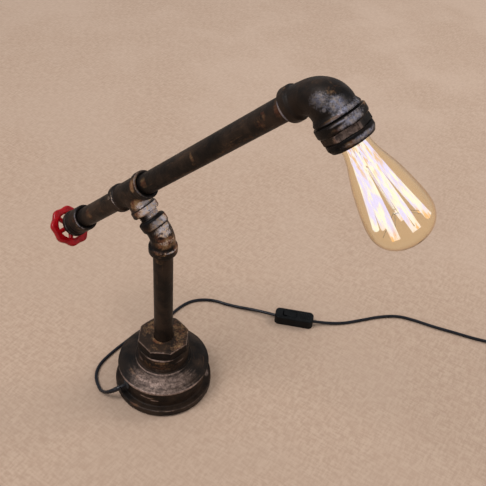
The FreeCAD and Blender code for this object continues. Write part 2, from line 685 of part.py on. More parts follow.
# ---------------------------------------------------------------- head
def head_elbow():
    """Reducing elbow: its small inlet turns on the arm, its large outlet holds the lampholder."""
    inlet_start = HEAD_BEND_R + HEAD_BODY_R - BODY_R
    centre = Vector(inlet_start, 0, HEAD_BEND_R)
    sections = []
    for step in range(7):
        angle = math.radians(90 * step / 6.0)
        swell = (HEAD_BODY_R - BODY_R) * math.sin(angle) ** 2
        inwards = Vector(-math.sin(angle), 0, -math.cos(angle))
        heading = Vector(-math.cos(angle), 0, math.sin(angle))
        circle = Part.makeCircle(BODY_R + swell, centre + inwards * (HEAD_BEND_R + swell), heading)
        sections.append(Part.Wire(circle))
    bulge = Part.makeLoft(sections, True, False)
    band = HEAD_OUTLET - HEAD_BAND_WIDTH
    groove = band - HEAD_GROOVE
    outlet = lathe([
        (0, HEAD_BEND_R), (HEAD_BODY_R, HEAD_BEND_R), (HEAD_BODY_R, HEAD_BEND_R + 1.2, 3.0),
        (HEAD_SWELL_R, groove - 1.6, 1.5), (HEAD_SWELL_R, groove, 0.4), (HEAD_GROOVE_R, groove, 0.3),
        (HEAD_GROOVE_R, band, 0.3), (HEAD_BAND_R, band, 1.0), (HEAD_BAND_R, HEAD_OUTLET, 2.0),
        (0, HEAD_OUTLET),
    ])
    inlet_band = HEAD_INLET - inlet_start - (ELBOW_BAND_R - BODY_R) - 1.4
    inlet = turned(leg(BODY_R, ELBOW_BAND_R, inlet_band, HEAD_INLET, 3.0, inlet_start), SIDE, 90)
    solid = bulge.multiFuse([outlet, inlet])
    hollow = placed(turned(bend(BORE_R, HEAD_BEND_R, 0, 90), UP, 180), tilted(Vector(HEAD_BEND_R, 0, 0), -90))
    wide = lathe([
        (0, HOLDER_BACK - 3.0), (BORE_R, HOLDER_BACK - 3.0), (HOLDER_BORE_R, HOLDER_BACK - FACE_GAP),
        (HOLDER_BORE_R, HEAD_OUTLET - ENGAGEMENT), (HEAD_THREAD_R + SCREWED_GAP, HEAD_OUTLET - ENGAGEMENT),
        (HEAD_THREAD_R + SCREWED_GAP, HEAD_OUTLET), (0, HEAD_OUTLET),
    ])
    inlet_bore = turned(socket(PIPE_R + SWIVEL_GAP, HEAD_INLET, HEAD_BEND_R), SIDE, 90)
    return placed(solid.cut(hollow.fuse(inlet_bore)).cut(wide), HEAD_FRAME)


HEXAGON_TOP = HEAD_OUTLET + HEXAGON_HEIGHT


def head_bushing():
    """Hexagon-headed bushing in the elbow's outlet, round the lampholder."""
    head = prism(6, HEXAGON_R, HEAD_OUTLET, HEXAGON_TOP, HEXAGON_TURN)
    crown = lathe([
        (0, HEAD_OUTLET), (HEXAGON_R - 1.0, HEAD_OUTLET), (HEXAGON_R, HEAD_OUTLET + 0.8),
        (HEXAGON_R, HEXAGON_TOP - 0.8), (HEXAGON_R - 1.0, HEXAGON_TOP), (0, HEXAGON_TOP),
    ])
    shank = cylinder(HEAD_THREAD_R, HEAD_OUTLET - ENGAGEMENT + FACE_GAP, HEAD_OUTLET)
    bore = cylinder(HOLDER_BORE_R, HEAD_OUTLET - ENGAGEMENT, HEXAGON_TOP)
    return placed(head.common(crown).fuse(shank).cut(bore), HEAD_FRAME)


def holder_insulator():
    """Ceramic cup of the lampholder."""
    floor = HOLDER_BACK + HOLDER_FLOOR
    cup = lathe([
        (0, HOLDER_BACK), (INSULATOR_R, HOLDER_BACK, 0.8), (INSULATOR_R, HOLDER_FRONT, 0.4),
        (SHELL_OUTER_R + SCREWED_GAP, HOLDER_FRONT), (SHELL_OUTER_R + SCREWED_GAP, floor), (0, floor),
    ])
    for y in (-HOLDER_SCREW_OFFSET, HOLDER_SCREW_OFFSET):
        cup = cup.cut(cylinder(HOLDER_SCREW_R + SCREWED_GAP, HOLDER_BACK, floor, (0, y)))
    return placed(cup.cut(cylinder(2.5 + SCREWED_GAP, HOLDER_BACK, floor)), HEAD_FRAME)


HOLDER_SCREW_R = 1.5
HOLDER_SCREW_OFFSET = 8.0


def holder_shell():
    """Brass screw shell that takes the bulb's cap."""
    floor = HOLDER_BACK + HOLDER_FLOOR
    return placed(lathe([
        (SHELL_OUTER_R - 3.5, floor), (SHELL_OUTER_R, floor, 0.6), (SHELL_OUTER_R, HOLDER_FRONT - 0.5),
        (SHELL_INNER_R, HOLDER_FRONT - 0.5), (SHELL_INNER_R, floor + SHELL_WALL),
        (SHELL_OUTER_R - 3.5, floor + SHELL_WALL),
    ]), HEAD_FRAME)


def holder_contact():
    """Sprung centre contact on its rivet."""
    floor = HOLDER_BACK + HOLDER_FLOOR
    rivet = cylinder(2.5, HOLDER_BACK - 1.2, floor + 0.8)
    tip = lathe([(0, floor + 0.8), (4.0, floor + 0.8, 0.3), (4.0, floor + 1.4),
                 (2.0, CONTACT_TIP - FACE_GAP), (0, CONTACT_TIP - FACE_GAP)])
    return placed(rivet.fuse(tip), HEAD_FRAME)


def holder_screws():
    """Two terminal screws on the back of the lampholder."""
    screws = []
    for y in (-HOLDER_SCREW_OFFSET, HOLDER_SCREW_OFFSET):
        shank = cylinder(HOLDER_SCREW_R, HOLDER_BACK, HOLDER_BACK + HOLDER_FLOOR - 0.3, (0, y))
        head = cylinder(2.6, HOLDER_BACK - 1.6, HOLDER_BACK, (0, y))
        slot = Part.makeBox(6.0, 0.7, 0.8, Vector(-3.0, y - 0.35, HOLDER_BACK - 1.6))
        screws.append(placed(shank.fuse(head).cut(slot), HEAD_FRAME))
    return screws


def holder_ring():
    """Notched ring that clamps the lampholder to the bushing."""
    body = lathe([
        (HOLDER_BORE_R, HEXAGON_TOP), (RING_R, HEXAGON_TOP, 0.8), (RING_R, RING_FRONT - 4.0, 2.5),
        (RING_R - 2.2, RING_FRONT, 1.0), (CAP_R + 1.3, RING_FRONT, 0.4), (CAP_R + 1.3, HOLDER_FRONT + 0.1),
        (HOLDER_BORE_R, HOLDER_FRONT + 0.1),
    ])
    for index in range(RING_NOTCHES):
        notch = cylinder(2.6, HEXAGON_TOP + 2.4, RING_FRONT + 1.0, (RING_R + 1.8, 0))
        body = body.cut(turned(notch, UP, 360.0 * index / RING_NOTCHES))
    return placed(body, HEAD_FRAME)


def head_wires():
    """Wires from the arm round the bend to the lampholder's screws."""
    wires = []
    for sign in (1, -1):
        near = sign * WIRE_SPACING / 2
        points = [
            (HEAD_INLET - ENGAGEMENT - 0.3, near, 0), (6.0, near, 2.0), (0.5, sign * 4.5, 7.0),
            (0, sign * HOLDER_SCREW_OFFSET * 0.72, HOLDER_BACK - 1.7),
        ]
        wires.append(placed(cable(points, WIRE_R)[0], HEAD_FRAME))
    return wires


# ---------------------------------------------------------------- bulb
CAP_BACK = CONTACT_TIP + 2.4
CAP_FRONT = CAP_BACK + CAP_LENGTH


def bulb_cap():
    """Screw cap with rolled threads."""
    inner = CAP_R - 1.1
    corners = [(inner, CAP_BACK), (inner + 0.4, CAP_BACK)]
    pitch = 3.6
    turns = int((CAP_LENGTH - 4.0) / pitch)
    for index in range(turns):
        foot = CAP_BACK + 0.8 + index * pitch
        corners.append((CAP_R - 0.8, foot, 0.7))
        corners.append((CAP_R, foot + pitch / 2, 0.9))
    corners += [(CAP_R - 0.8, CAP_FRONT - 2.6, 0.5), (CAP_R - 0.6, CAP_FRONT), (inner, CAP_FRONT)]
    return placed(lathe(corners), HEAD_FRAME)


def bulb_cap_seal():
    """Dark glass that closes the cap round its contact."""
    inner = CAP_R - 1.1
    return placed(lathe([
        (2.6, CONTACT_TIP + 0.6), (4.8, CONTACT_TIP + 0.6), (inner + 0.35, CAP_BACK), (inner, CAP_BACK),
        (inner, CAP_BACK + 1.6), (2.6, CAP_BACK + 1.6),
    ]), HEAD_FRAME)


def bulb_contact():
    return placed(lathe([
        (0, CONTACT_TIP), (4.6, CONTACT_TIP, 0.4), (4.6, CONTACT_TIP + 0.6), (2.6, CONTACT_TIP + 0.6),
        (2.6, CAP_BACK + 1.2), (0, CAP_BACK + 1.2),
    ]), HEAD_FRAME)


def bulb_profile(inset):
    """The bulb's outline as a curve in the XZ plane, moved inwards by inset."""
    points = [Vector(radius - inset, 0, height) for height, radius in BULB_OUTLINE]
    points[-1].z -= inset
    points[-1].x += inset / 2
    curve = Part.BSplineCurve()
    points.append(Vector(0, 0, BULB_TIP - inset))
    curve.interpolate(points, FinalTangent=Vector(-1, 0, 0), InitialTangent=UP)
    return curve


def bulb_glass():
    """Blown glass envelope, open at the neck where the cap is."""
    outer, inner = bulb_profile(0), bulb_profile(GLASS_WALL)
    seat_height = BULB_OUTLINE[0][0]
    foot_r = CAP_R - 1.15
    foot = CAP_FRONT - 6.0
    outer_foot, inner_foot = Vector(foot_r, 0, foot), Vector(foot_r - GLASS_WALL, 0, foot)
    seat, inner_seat = outer.value(outer.FirstParameter), inner.value(inner.FirstParameter)
    low = Vector(foot_r, 0, seat_height - 1.0)
    inner_low = Vector(foot_r - GLASS_WALL, 0, seat_height - 1.0)
    edges = [
        Part.makeLine(inner_foot, outer_foot), Part.makeLine(outer_foot, low), Part.makeLine(low, seat),
        outer.toShape(), Part.makeLine(outer.value(outer.LastParameter), inner.value(inner.LastParameter)),
        inner.toShape(), Part.makeLine(inner_seat, inner_low), Part.makeLine(inner_low, inner_foot),
    ]
    face = Part.Face(Part.Wire(Part.__sortEdges__(edges)))
    return placed(face.revolve(CENTRE, UP, 360), HEAD_FRAME)


STEM_FOOT = CAP_FRONT - 6.0
STEM_TUBE = 66.0
STEM_TOP = 113.0
FAN_LOW = 54.0
FAN_HIGH = 124.5
FAN_LOW_R = 6.6
FAN_HIGH_R = 20.3
FAN_TURN = 8.4
BUTTON_R = 2.8
HOOK_GAP = 0.1            # between a hook's root and the stem
HOOK_STOP = 1.2           # a hook's wire ends this far from the strands' corner


def bulb_stem():
    """Glass mount: a flare fused to the neck, a tube and a button on a rod."""
    flare_r = CAP_R - 1.15 - GLASS_WALL
    return placed(lathe([
        (0, STEM_FOOT), (flare_r, STEM_FOOT), (flare_r, STEM_FOOT + 1.5, 1.0), (STEM_R, STEM_FOOT + 9.0, 6.0),
        (STEM_R, STEM_TUBE, 2.0), (1.6, STEM_TUBE + 4.0, 1.0), (1.6, STEM_TOP - 4.0, 1.0),
        (BUTTON_R, STEM_TOP - 2.5, 0.8), (BUTTON_R, STEM_TOP - 0.4, 0.8), (0, STEM_TOP),
    ]), HEAD_FRAME)


def fan_point(index, high):
    """A hook of the filament: the hooks alternate between the low and the high ring."""
    angle = 2 * math.pi * index / FILAMENT_LEGS + math.radians(FAN_TURN)
    radius, height = (FAN_HIGH_R, FAN_HIGH) if high else (FAN_LOW_R, FAN_LOW)
    return Vector(radius * math.cos(angle), radius * math.sin(angle), height)


def rod(start, end, radius):
    return Part.makeCylinder(radius, (end - start).Length, start, end - start)


def bulb_supports():
    """Molybdenum hooks that hold the filament off the stem."""
    hooks = []
    for index in range(FILAMENT_LEGS):
        high = index % 2 == 0
        root_r, height = (BUTTON_R, STEM_TOP - 1.5) if high else (STEM_R, FAN_LOW + 4.0)
        tip = fan_point(index, high)
        outward = Vector(tip.x, tip.y, 0).normalize()
        start = outward * (root_r + HOOK_WIRE_R + HOOK_GAP) + Vector(0, 0, height)
        end = tip - (tip - start).normalize() * HOOK_STOP
        hooks.append(placed(rod(start, end, HOOK_WIRE_R), HEAD_FRAME))
    return hooks


def bulb_filament():
    """The filament as straight strands from hook to hook, all round the stem."""
    strands = []
    for index in range(FILAMENT_LEGS):
        start = fan_point(index, index % 2 == 0)
        end = fan_point(index + 1, index % 2 == 1)
        strands.append(rod(start, end, FILAMENT_R))
        strands.append(Part.makeSphere(FILAMENT_R, start))
    return placed(joined(strands), HEAD_FRAME)


# ---------------------------------------------------------------- cord
CORD_START = CAVITY_R + 0.5
CORD_DROP = 53.5           # this far from the base's axis the cord starts down to the floor
SWITCH_ENTRY = tuple(SWITCH_FRAME.multVec(Vector(-SWITCH_LENGTH / 2, 0, SWITCH_SPLIT)))
SWITCH_OUTLET = tuple(SWITCH_FRAME.multVec(Vector(SWITCH_LENGTH / 2, 0, SWITCH_SPLIT)))
LEAD_POINTS = [
    exit_point(CORD_START), exit_point(CORD_DROP),
    (-24.8, -56.8, 19.0), (-31.0, -61.5, 14.0), (-39.9, -63.1, 7.1), (-50.7, -59.6, ON_FLOOR),
    (-67.2, -48.2, ON_FLOOR), (-75.3, -31.4, ON_FLOOR), (-75.3, -7.9, ON_FLOOR),
    (-72.3, 19.5, ON_FLOOR), (-69.6, 45.1, ON_FLOOR), (-55.4, 73.1, ON_FLOOR), (-54.9, 101.7, ON_FLOOR),
    (-48.8, 125.3, ON_FLOOR), (-28.0, 142.6, ON_FLOOR), (-0.3, 148.5, ON_FLOOR), (32.3, 161.7, 3.2),
    SWITCH_ENTRY,
]
TAIL_POINTS = [
    SWITCH_OUTLET, (116.0, 195.4, 3.4), (136.4, 210.7, ON_FLOOR), (154.2, 231.4, ON_FLOOR),
    (170.7, 251.8, ON_FLOOR), (191.6, 269.8, ON_FLOOR), (216.0, 276.4, ON_FLOOR), (240.3, 280.7, ON_FLOOR),
    (266.8, 287.9, ON_FLOOR), (291.0, 293.5, ON_FLOOR), (312.0, 300.2, 2.3), (331.9, 307.9, 5.0),
]


def cord_lead():
    solid, length, radii = cable(LEAD_POINTS, CORD_R)
    report_cord("cord_lead", solid, length, radii)
    return solid


def cord_tail():
    solid, length, radii = cable(TAIL_POINTS, CORD_R)
    report_cord("cord_tail", solid, length, radii)
    return solid


def report_cord(name, solid, length, radii):
    section = math.pi * CORD_R ** 2
    print(name, "length %.1f" % length, "volume share %.4f" % (solid.Volume / (section * length)))
    print("   radii", " ".join("%.0f" % radius for radius in radii))


COIL_LOW = TIE_THICK + TIE_GAP + FLOOR_CLEAR


def cord_coil():
    """The outer shape of the put-away coil."""
    half = COIL_BAND / 2
    high = COIL_LOW + COIL_BAND
    coil = lathe([
        (COIL_MID_R - half, COIL_LOW, 3.5), (COIL_MID_R + half, COIL_LOW, 3.5),
        (COIL_MID_R + half, high, 3.5), (COIL_MID_R - half, high, 3.5),
    ])
    return placed(coil, floor_frame(COIL_CENTRE[0], COIL_CENTRE[1], 0, 0))


def coil_tie():
    """Hook-and-loop strap round the coil, curved as the coil is."""
    half = COIL_BAND / 2 + TIE_GAP
    outer = half + TIE_THICK
    low, high = COIL_LOW - TIE_GAP, COIL_LOW + COIL_BAND + TIE_GAP
    inside, outside = COIL_MID_R - outer, COIL_MID_R + outer
    band = outline([
        (inside, low - TIE_THICK, 4.8), (outside, low - TIE_THICK, 4.8),
        (outside, high + TIE_THICK, 4.8), (inside, high + TIE_THICK, 4.8),
    ])
    inside, outside = COIL_MID_R - half, COIL_MID_R + half
    hole = outline([(inside, low, 3.8), (outside, low, 3.8), (outside, high, 3.8), (inside, high, 3.8)])
    width = math.degrees(TIE_WIDTH / COIL_MID_R)
    strap = Part.Face(band).cut(Part.Face(hole)).Faces[0].revolve(CENTRE, UP, width)
    frame = floor_frame(COIL_CENTRE[0], COIL_CENTRE[1], 0, TIE_TURN - width / 2)
    return placed(strap, frame)


# ---------------------------------------------------------------- switch
ROCKER_AT = -6.0
SWITCH_END_R = 6.0
PIVOT_HEIGHT = SWITCH_HEIGHT - 2.6
SWITCH_SCREW_AT = 20.0


def switch_shell(low, high):
    """The outside of one half of the switch's case, with rounded ends."""
    return block(SWITCH_LENGTH, SWITCH_WIDTH, low, high, SWITCH_END_R)


def switch_cavity(low, high):
    return block(SWITCH_LENGTH - 14.0, SWITCH_WIDTH - 2 * SWITCH_WALL, low, high, 3.0)


def switch_base():
    shell = switch_shell(FLOOR_CLEAR, SWITCH_SPLIT)
    lower = [edge for edge in shell.Edges if abs(edge.BoundBox.ZMax - FLOOR_CLEAR) < 1e-6]
    shell = shell.makeFillet(1.2, lower)
    shell = shell.cut(switch_cavity(SWITCH_WALL, SWITCH_SPLIT))
    for x in (-SWITCH_SCREW_AT, SWITCH_SCREW_AT):
        shell = shell.cut(cylinder(1.25 + SCREWED_GAP, 0, SWITCH_SPLIT, (x, -4.8)))
    return placed(shell, SWITCH_FRAME)


def switch_cover():
    shell = switch_shell(SWITCH_SPLIT, SWITCH_HEIGHT)
    upper = [edge for edge in shell.Edges if abs(edge.BoundBox.ZMin - SWITCH_HEIGHT) < 1e-6]
    shell = shell.makeFillet(2.2, upper)
    shell = shell.cut(switch_cavity(SWITCH_SPLIT, SWITCH_HEIGHT - SWITCH_WALL))
    window = block(ROCKER_LENGTH + 1.6, ROCKER_WIDTH + 0.8, SWITCH_SPLIT, SWITCH_HEIGHT + 1, 1.0)
    window.translate(Vector(ROCKER_AT, 0, 0))
    shell = shell.cut(window)
    reach = SWITCH_WIDTH / 2 - 1
    pivot = turned(cylinder(ROCKER_PIVOT_R + SWIVEL_GAP, -reach, reach), ALONG, 90)
    ears = []
    for side in (1, -1):
        ear = Part.makeBox(5.0, 1.4, 5.6, Vector(-2.5, -0.7, SWITCH_HEIGHT - 6.6))
        ear.translate(Vector(ROCKER_AT, side * (ROCKER_WIDTH / 2 + 1.1), 0))
        ears.append(ear)
    pivot.translate(Vector(ROCKER_AT, 0, PIVOT_HEIGHT))
    shell = joined([shell] + ears).cut(pivot)
    for x in (-SWITCH_SCREW_AT, SWITCH_SCREW_AT):
        shell = shell.cut(cylinder(1.25 + SCREWED_GAP, SWITCH_SPLIT, SWITCH_SPLIT + 4.0, (x, -4.8)))
    return placed(shell, SWITCH_FRAME)


def switch_rocker():
    """Rocker on its two stub pivots, pressed down at its far end."""
    body = block(ROCKER_LENGTH, ROCKER_WIDTH, -3.2, 3.4, 0.8)
    curve = Part.makeCylinder(26.0, ROCKER_WIDTH + 2, Vector(0, -ROCKER_WIDTH / 2 - 1, 28.6), SIDE)
    relief = Part.makeBox(30, 20, 10, Vector(-15, -10, -13.0))
    body = body.cut(curve).cut(turned(relief, SIDE, ROCKER_TILT)).cut(turned(relief, SIDE, -ROCKER_TILT))
    pivots = turned(cylinder(ROCKER_PIVOT_R, -ROCKER_WIDTH / 2 - 1.6, ROCKER_WIDTH / 2 + 1.6), ALONG, 90)
    rocker = turned(body.fuse(pivots), SIDE, ROCKER_TILT)
    rocker.translate(Vector(ROCKER_AT, 0, PIVOT_HEIGHT))
    return placed(rocker, SWITCH_FRAME)


def switch_contacts():
    """Two brass contact strips under the rocker, each on the cavity's floor."""
    strips = []
    for side in (1, -1):
        strip = Part.makeBox(12.0, 4.0, 0.6, Vector(-13.0, -2.0 + side * 3.6, SWITCH_WALL))
        post = Part.makeBox(1.0, 4.0, 2.4, Vector(-13.0, -2.0 + side * 3.6, SWITCH_WALL))
        strips.append(placed(strip.fuse(post), SWITCH_FRAME))
    return strips


def switch_screws():
    screws = []
    for x in (-SWITCH_SCREW_AT, SWITCH_SCREW_AT):
        screw = cylinder(1.25, 0.6, SWITCH_SPLIT + 3.8, (x, -4.8))
        screws.append(placed(screw, SWITCH_FRAME))
    return screws


# ---------------------------------------------------------------- plug
def plug_body():
    """Flat two-pin plug body with a waist to grip."""
    half = PLUG_LONG / 2
    body = block(PLUG_LONG, PLUG_WIDE, -PLUG_HIGH / 2 + FLOOR_CLEAR, PLUG_HIGH / 2, 6.0)
    body = body.makeFillet(2.0, [edge for edge in body.Edges if abs(edge.BoundBox.ZLength) < 1e-6])
    for side in (1, -1):
        waist = cylinder(20.0, -PLUG_HIGH, PLUG_HIGH, (-5.0, side * (PLUG_WIDE / 2 + 17.5)))
        body = body.cut(waist)
    for side in (1, -1):
        hole = turned(cylinder(SLEEVE_R + SCREWED_GAP, half - 8.0, half + 1), SIDE, 90)
        hole.translate(Vector(0, side * PIN_SPACING / 2, 0))
        body = body.cut(hole)
    return placed(body, PLUG_FRAME)


def plug_pins():
    pins = []
    for side in (1, -1):
        start = PLUG_LONG / 2 + SLEEVE_LONG
        end = PLUG_LONG / 2 + PIN_LONG
        pin = lathe([(0, start), (PIN_R, start), (PIN_R, end, 1.0), (0, end)])
        pin = turned(pin, SIDE, 90)
        pin.translate(Vector(0, side * PIN_SPACING / 2, 0))
        pins.append(placed(pin, PLUG_FRAME))
    return pins


def plug_sleeves():
    """Insulating sleeves on the roots of the pins."""
    sleeves = []
    for side in (1, -1):
        sleeve = turned(cylinder(SLEEVE_R, PLUG_LONG / 2 - 7.5, PLUG_LONG / 2 + SLEEVE_LONG), SIDE, 90)
        sleeve.translate(Vector(0, side * PIN_SPACING / 2, 0))
        sleeves.append(placed(sleeve, PLUG_FRAME))
    return sleeves


NODES = [
    base_bell, base_plate, base_pad, plate_screws, cord_grommet, cord_stop, inner_cord, terminal_block,
    terminal_screws, riser_bushing, riser_pipe, riser_wires, lean_elbow, branch_nipple, elbow_wires, tee,
    arm_pipe, arm_wires, rear_pipe, rear_coupling, rear_plug, wheel_spindle, spindle_clip, handwheel,
    wheel_washer, wheel_screw, head_elbow, head_bushing, holder_insulator, holder_shell, holder_contact,
    holder_screws, holder_ring, head_wires, bulb_cap, bulb_cap_seal, bulb_contact, bulb_glass, bulb_stem,
    bulb_supports, bulb_filament, cord_lead, switch_base, switch_cover, switch_rocker, switch_contacts,
    switch_screws, cord_tail, cord_coil, coil_tie, plug_body, plug_pins, plug_sleeves,
]


def main():
    os.makedirs("parts", exist_ok=True)
    for make in NODES:
        made = make()
        shape = Part.makeCompound(made) if isinstance(made, list) else made
        solids = shape.Solids
        print(make.__name__, len(solids), "solids", "valid" if shape.isValid() else "INVALID",
              "volume %.1f" % shape.Volume)
        Part.makeCompound(solids).exportStep("parts/%s.step" % make.__name__)


main()
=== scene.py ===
"""Looks of the industrial pipe table lamp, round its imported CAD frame.

Sizes are millimetres in the CAD's row frame and become metres when a mesh, curve or light is made.
The lamp leans in the XZ plane: its bulb is on the +X side and its handwheel on the -X side.
"""
import math

import bmesh
import bpy
import numpy as np
from mathutils import Matrix, Vector, noise


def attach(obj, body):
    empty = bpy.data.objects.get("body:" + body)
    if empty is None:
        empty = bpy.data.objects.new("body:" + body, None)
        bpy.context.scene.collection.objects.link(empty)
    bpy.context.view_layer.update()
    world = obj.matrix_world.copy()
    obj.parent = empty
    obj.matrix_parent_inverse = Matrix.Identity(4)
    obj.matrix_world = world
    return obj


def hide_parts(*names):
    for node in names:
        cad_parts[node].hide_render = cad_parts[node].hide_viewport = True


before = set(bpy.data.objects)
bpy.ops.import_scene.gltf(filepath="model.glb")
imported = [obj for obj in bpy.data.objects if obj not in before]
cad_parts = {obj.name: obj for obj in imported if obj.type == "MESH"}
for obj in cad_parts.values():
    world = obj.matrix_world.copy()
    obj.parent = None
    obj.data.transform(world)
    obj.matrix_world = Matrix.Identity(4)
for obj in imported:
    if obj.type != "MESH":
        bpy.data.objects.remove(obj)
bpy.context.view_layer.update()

MM = 0.001

# ---- sizes shared with the CAD
PIPE_R = 10.65
BORE_R = 8.0
LEAN = 45.0
ELBOW_HEIGHT = 231.3
TEE_AT = 54.1
TEE_BRANCH = 25.6
TEE_RUN = 25.4
ARM_LENGTH = 264.8
REAR_MOUTH = -96.7
COUPLING_END = -112.7
COUPLING_R = 14.4
PLUG_BODY_START = -113.3
PLUG_FLANGE_START = -118.7
PLUG_FACE = -124.1
BELL_BOTTOM = 1.5
FLANGE_R = 57.15
FLANGE_TOP = 10.3
GROOVE_R = 49.5
RIM_R = 53.6
RIM_BOTTOM = 35.2
RIM_TOP = 37.2
SHOULDER_R = 44.0
SHOULDER_TOP = 42.9
BEAD_R = 33.6
BEAD_FOOT = 45.2
BEAD_TOP = 46.8
NECK_R = 29.6
NECK_FOOT = 46.4
NECK_TOP = 67.6
NECK_BORE_R = 24.03
CAVITY_R = 44.0
PLATE_HOLE_R = 49.0
PLATE_TOP = 4.0
OCTAGON_TOP = 79.6
BULB_OUTLINE = [
    (47.6, 12.2), (53.0, 12.6), (61.0, 14.5), (70.0, 17.7), (80.0, 21.1), (91.0, 23.9),
    (103.0, 26.5), (114.0, 28.0), (123.0, 27.3), (131.0, 23.6), (137.0, 17.0), (140.2, 9.0),
]
BULB_TIP = 141.3
GLASS_FOOT = 40.4
GLASS_FOOT_R = 11.95
GLASS_NECK = 46.6
GLASS_WALL = 0.8
FAN_LOW = 54.0
FAN_HIGH = 124.5
FAN_LOW_R = 6.6
FAN_HIGH_R = 20.3
FAN_TURN = 8.4
STRANDS = 14
CORD_R = 2.0
ON_FLOOR = 2.05
SWITCH_CENTRE = (81.3, 176.5)
SWITCH_TURN = 23.8
SWITCH_HALF = 25.5
SWITCH_TOP = 13.6
SWITCH_SEAM = 6.5


def leaning_frame(origin, degrees):
    """A frame, in millimetres, whose Z leans from +Z toward +X."""
    return Matrix.Translation(origin) @ Matrix.Rotation(math.radians(degrees), 4, "Y")


UPRIGHT = Matrix.Identity(4)
NIPPLE = leaning_frame(Vector((0, 0, ELBOW_HEIGHT)), -LEAN)
ELBOW = leaning_frame(NIPPLE.translation, 0)
ARM = leaning_frame(NIPPLE @ Vector((0, 0, TEE_AT)), 90 - LEAN)
HEAD = leaning_frame(ARM @ Vector((0, 0, ARM_LENGTH)), 180 - LEAN)
SWITCH = Matrix.Translation((*SWITCH_CENTRE, 0)) @ Matrix.Rotation(math.radians(SWITCH_TURN), 4, "Z")


def metres(place):
    """A millimetre frame as a matrix for an object whose mesh is in metres."""
    matrix = place.copy()
    matrix.translation = place.translation * MM
    return matrix


def put(name, data):
    """A new object in the scene."""
    item = bpy.data.objects.new(name, data)
    bpy.context.scene.collection.objects.link(item)
    return item


# ---- camera
CAMERA_AT = Vector((353.62, -452.57, 734.47))
CAMERA_LOOKS = Vector((-0.372393, 0.649539, -0.662890))
CAMERA_RIGHT = Vector((0.834161, 0.547349, 0.067717))
CAMERA_LENS = 55.25
CAMERA_SENSOR = 36.0


def make_camera():
    data = bpy.data.cameras.new("camera")
    data.lens = CAMERA_LENS
    data.sensor_width = CAMERA_SENSOR
    data.sensor_height = CAMERA_SENSOR
    data.clip_start = 0.01
    camera = put("camera", data)
    up = CAMERA_RIGHT.cross(CAMERA_LOOKS)
    matrix = Matrix((CAMERA_RIGHT, up, -CAMERA_LOOKS)).transposed().to_4x4()
    matrix.translation = CAMERA_AT * MM
    camera.matrix_world = matrix
    bpy.context.scene.camera = camera


# ---- node helpers
def srgb(red, green, blue):
    """A colour as it is seen on a screen, from 0 to 255, in the renderer's own linear values."""
    def linear(value):
        share = value / 255
        return share / 12.92 if share <= 0.04045 else ((share + 0.055) / 1.055) ** 2.4
    return (linear(red), linear(green), linear(blue), 1.0)


class Finish:
    """A material being built, with short calls that add nodes and join them."""

    def __init__(self, name, **sockets):
        self.material = bpy.data.materials.new(name)
        self.material.use_nodes = True
        self.tree = self.material.node_tree
        self.shader = self.tree.nodes["Principled BSDF"]
        for socket, value in sockets.items():
            self.set(socket.replace("_", " "), value)

    def set(self, socket, value):
        self.feed(self.shader.inputs[socket], value)

    def feed(self, socket, value):
        if isinstance(value, bpy.types.NodeSocket):
            self.tree.links.new(value, socket)
        else:
            socket.default_value = value

    def add(self, kind, inputs=(), **settings):
        node = self.tree.nodes.new("ShaderNode" + kind)
        for setting, value in settings.items():
            setattr(node, setting, value)
        for socket, value in dict(inputs).items():
            self.feed(node.inputs[socket], value)
        return node

    def place(self, lean=0.0, drawn=1.0):
        """Where a point is, in metres, squeezed by drawn along an axis that leans from +Z toward +X."""
        spot = self.add("TexCoord").outputs["Object"]
        turn = (0.0, math.radians(lean), 0.0)
        mapping = {"Vector": spot, "Rotation": turn, "Scale": (1.0, 1.0, drawn)}
        return self.add("Mapping", mapping, vector_type="TEXTURE").outputs[0]

    def turned(self, drawn):
        """Where a point is, in metres, as (radius, angle, height) about Z, with the angle drawn out."""
        parts = self.add("SeparateXYZ", {0: self.add("TexCoord").outputs["Object"]}).outputs
        squares = self.total(self.math("POWER", parts[0], 2.0), self.math("POWER", parts[1], 2.0))
        angle = self.times(self.math("ARCTAN2", parts[1], parts[0]), drawn * MM)
        return self.add("CombineXYZ", {0: self.math("SQRT", squares), 1: angle, 2: parts[2]}).outputs[0]

    def noise(self, place, scale, detail=4.0, roughness=0.55, distortion=0.0):
        return self.add("TexNoise", {
            "Vector": place, "Scale": scale, "Detail": detail, "Roughness": roughness,
            "Distortion": distortion}).outputs[0]

    def attribute(self, name):
        return self.add("Attribute", attribute_name=name).outputs["Fac"]

    def math(self, operation, first, second=0.0):
        return self.add("Math", {0: first, 1: second}, operation=operation).outputs[0]

    def total(self, *values):
        level = values[0]
        for value in values[1:]:
            level = self.math("ADD", level, value)
        return level

    def times(self, first, second):
        return self.math("MULTIPLY", first, second)

    def about(self, value, strength):
        """A value's distance from a half, times a strength."""
        return self.times(self.math("SUBTRACT", value, 0.5), strength)

    def step(self, value, low, high, foot=0.0, top=1.0):
        """Eases from foot to top as value goes from low to high."""
        return self.add("MapRange", {
            "Value": value, "From Min": low, "From Max": high, "To Min": foot, "To Max": top},
            interpolation_type="SMOOTHSTEP").outputs[0]

    def mix(self, share, first, second):
        node = self.add("Mix", {0: share, 6: first, 7: second}, data_type="RGBA")
        return node.outputs[2]

    def bump(self, height, depth, normal=None):
        """Relief of a depth in millimetres."""
        inputs = {"Height": height, "Distance": depth * MM, "Strength": 1.0}
        if normal is not None:
            inputs["Normal"] = normal
        return self.add("Bump", inputs).outputs[0]


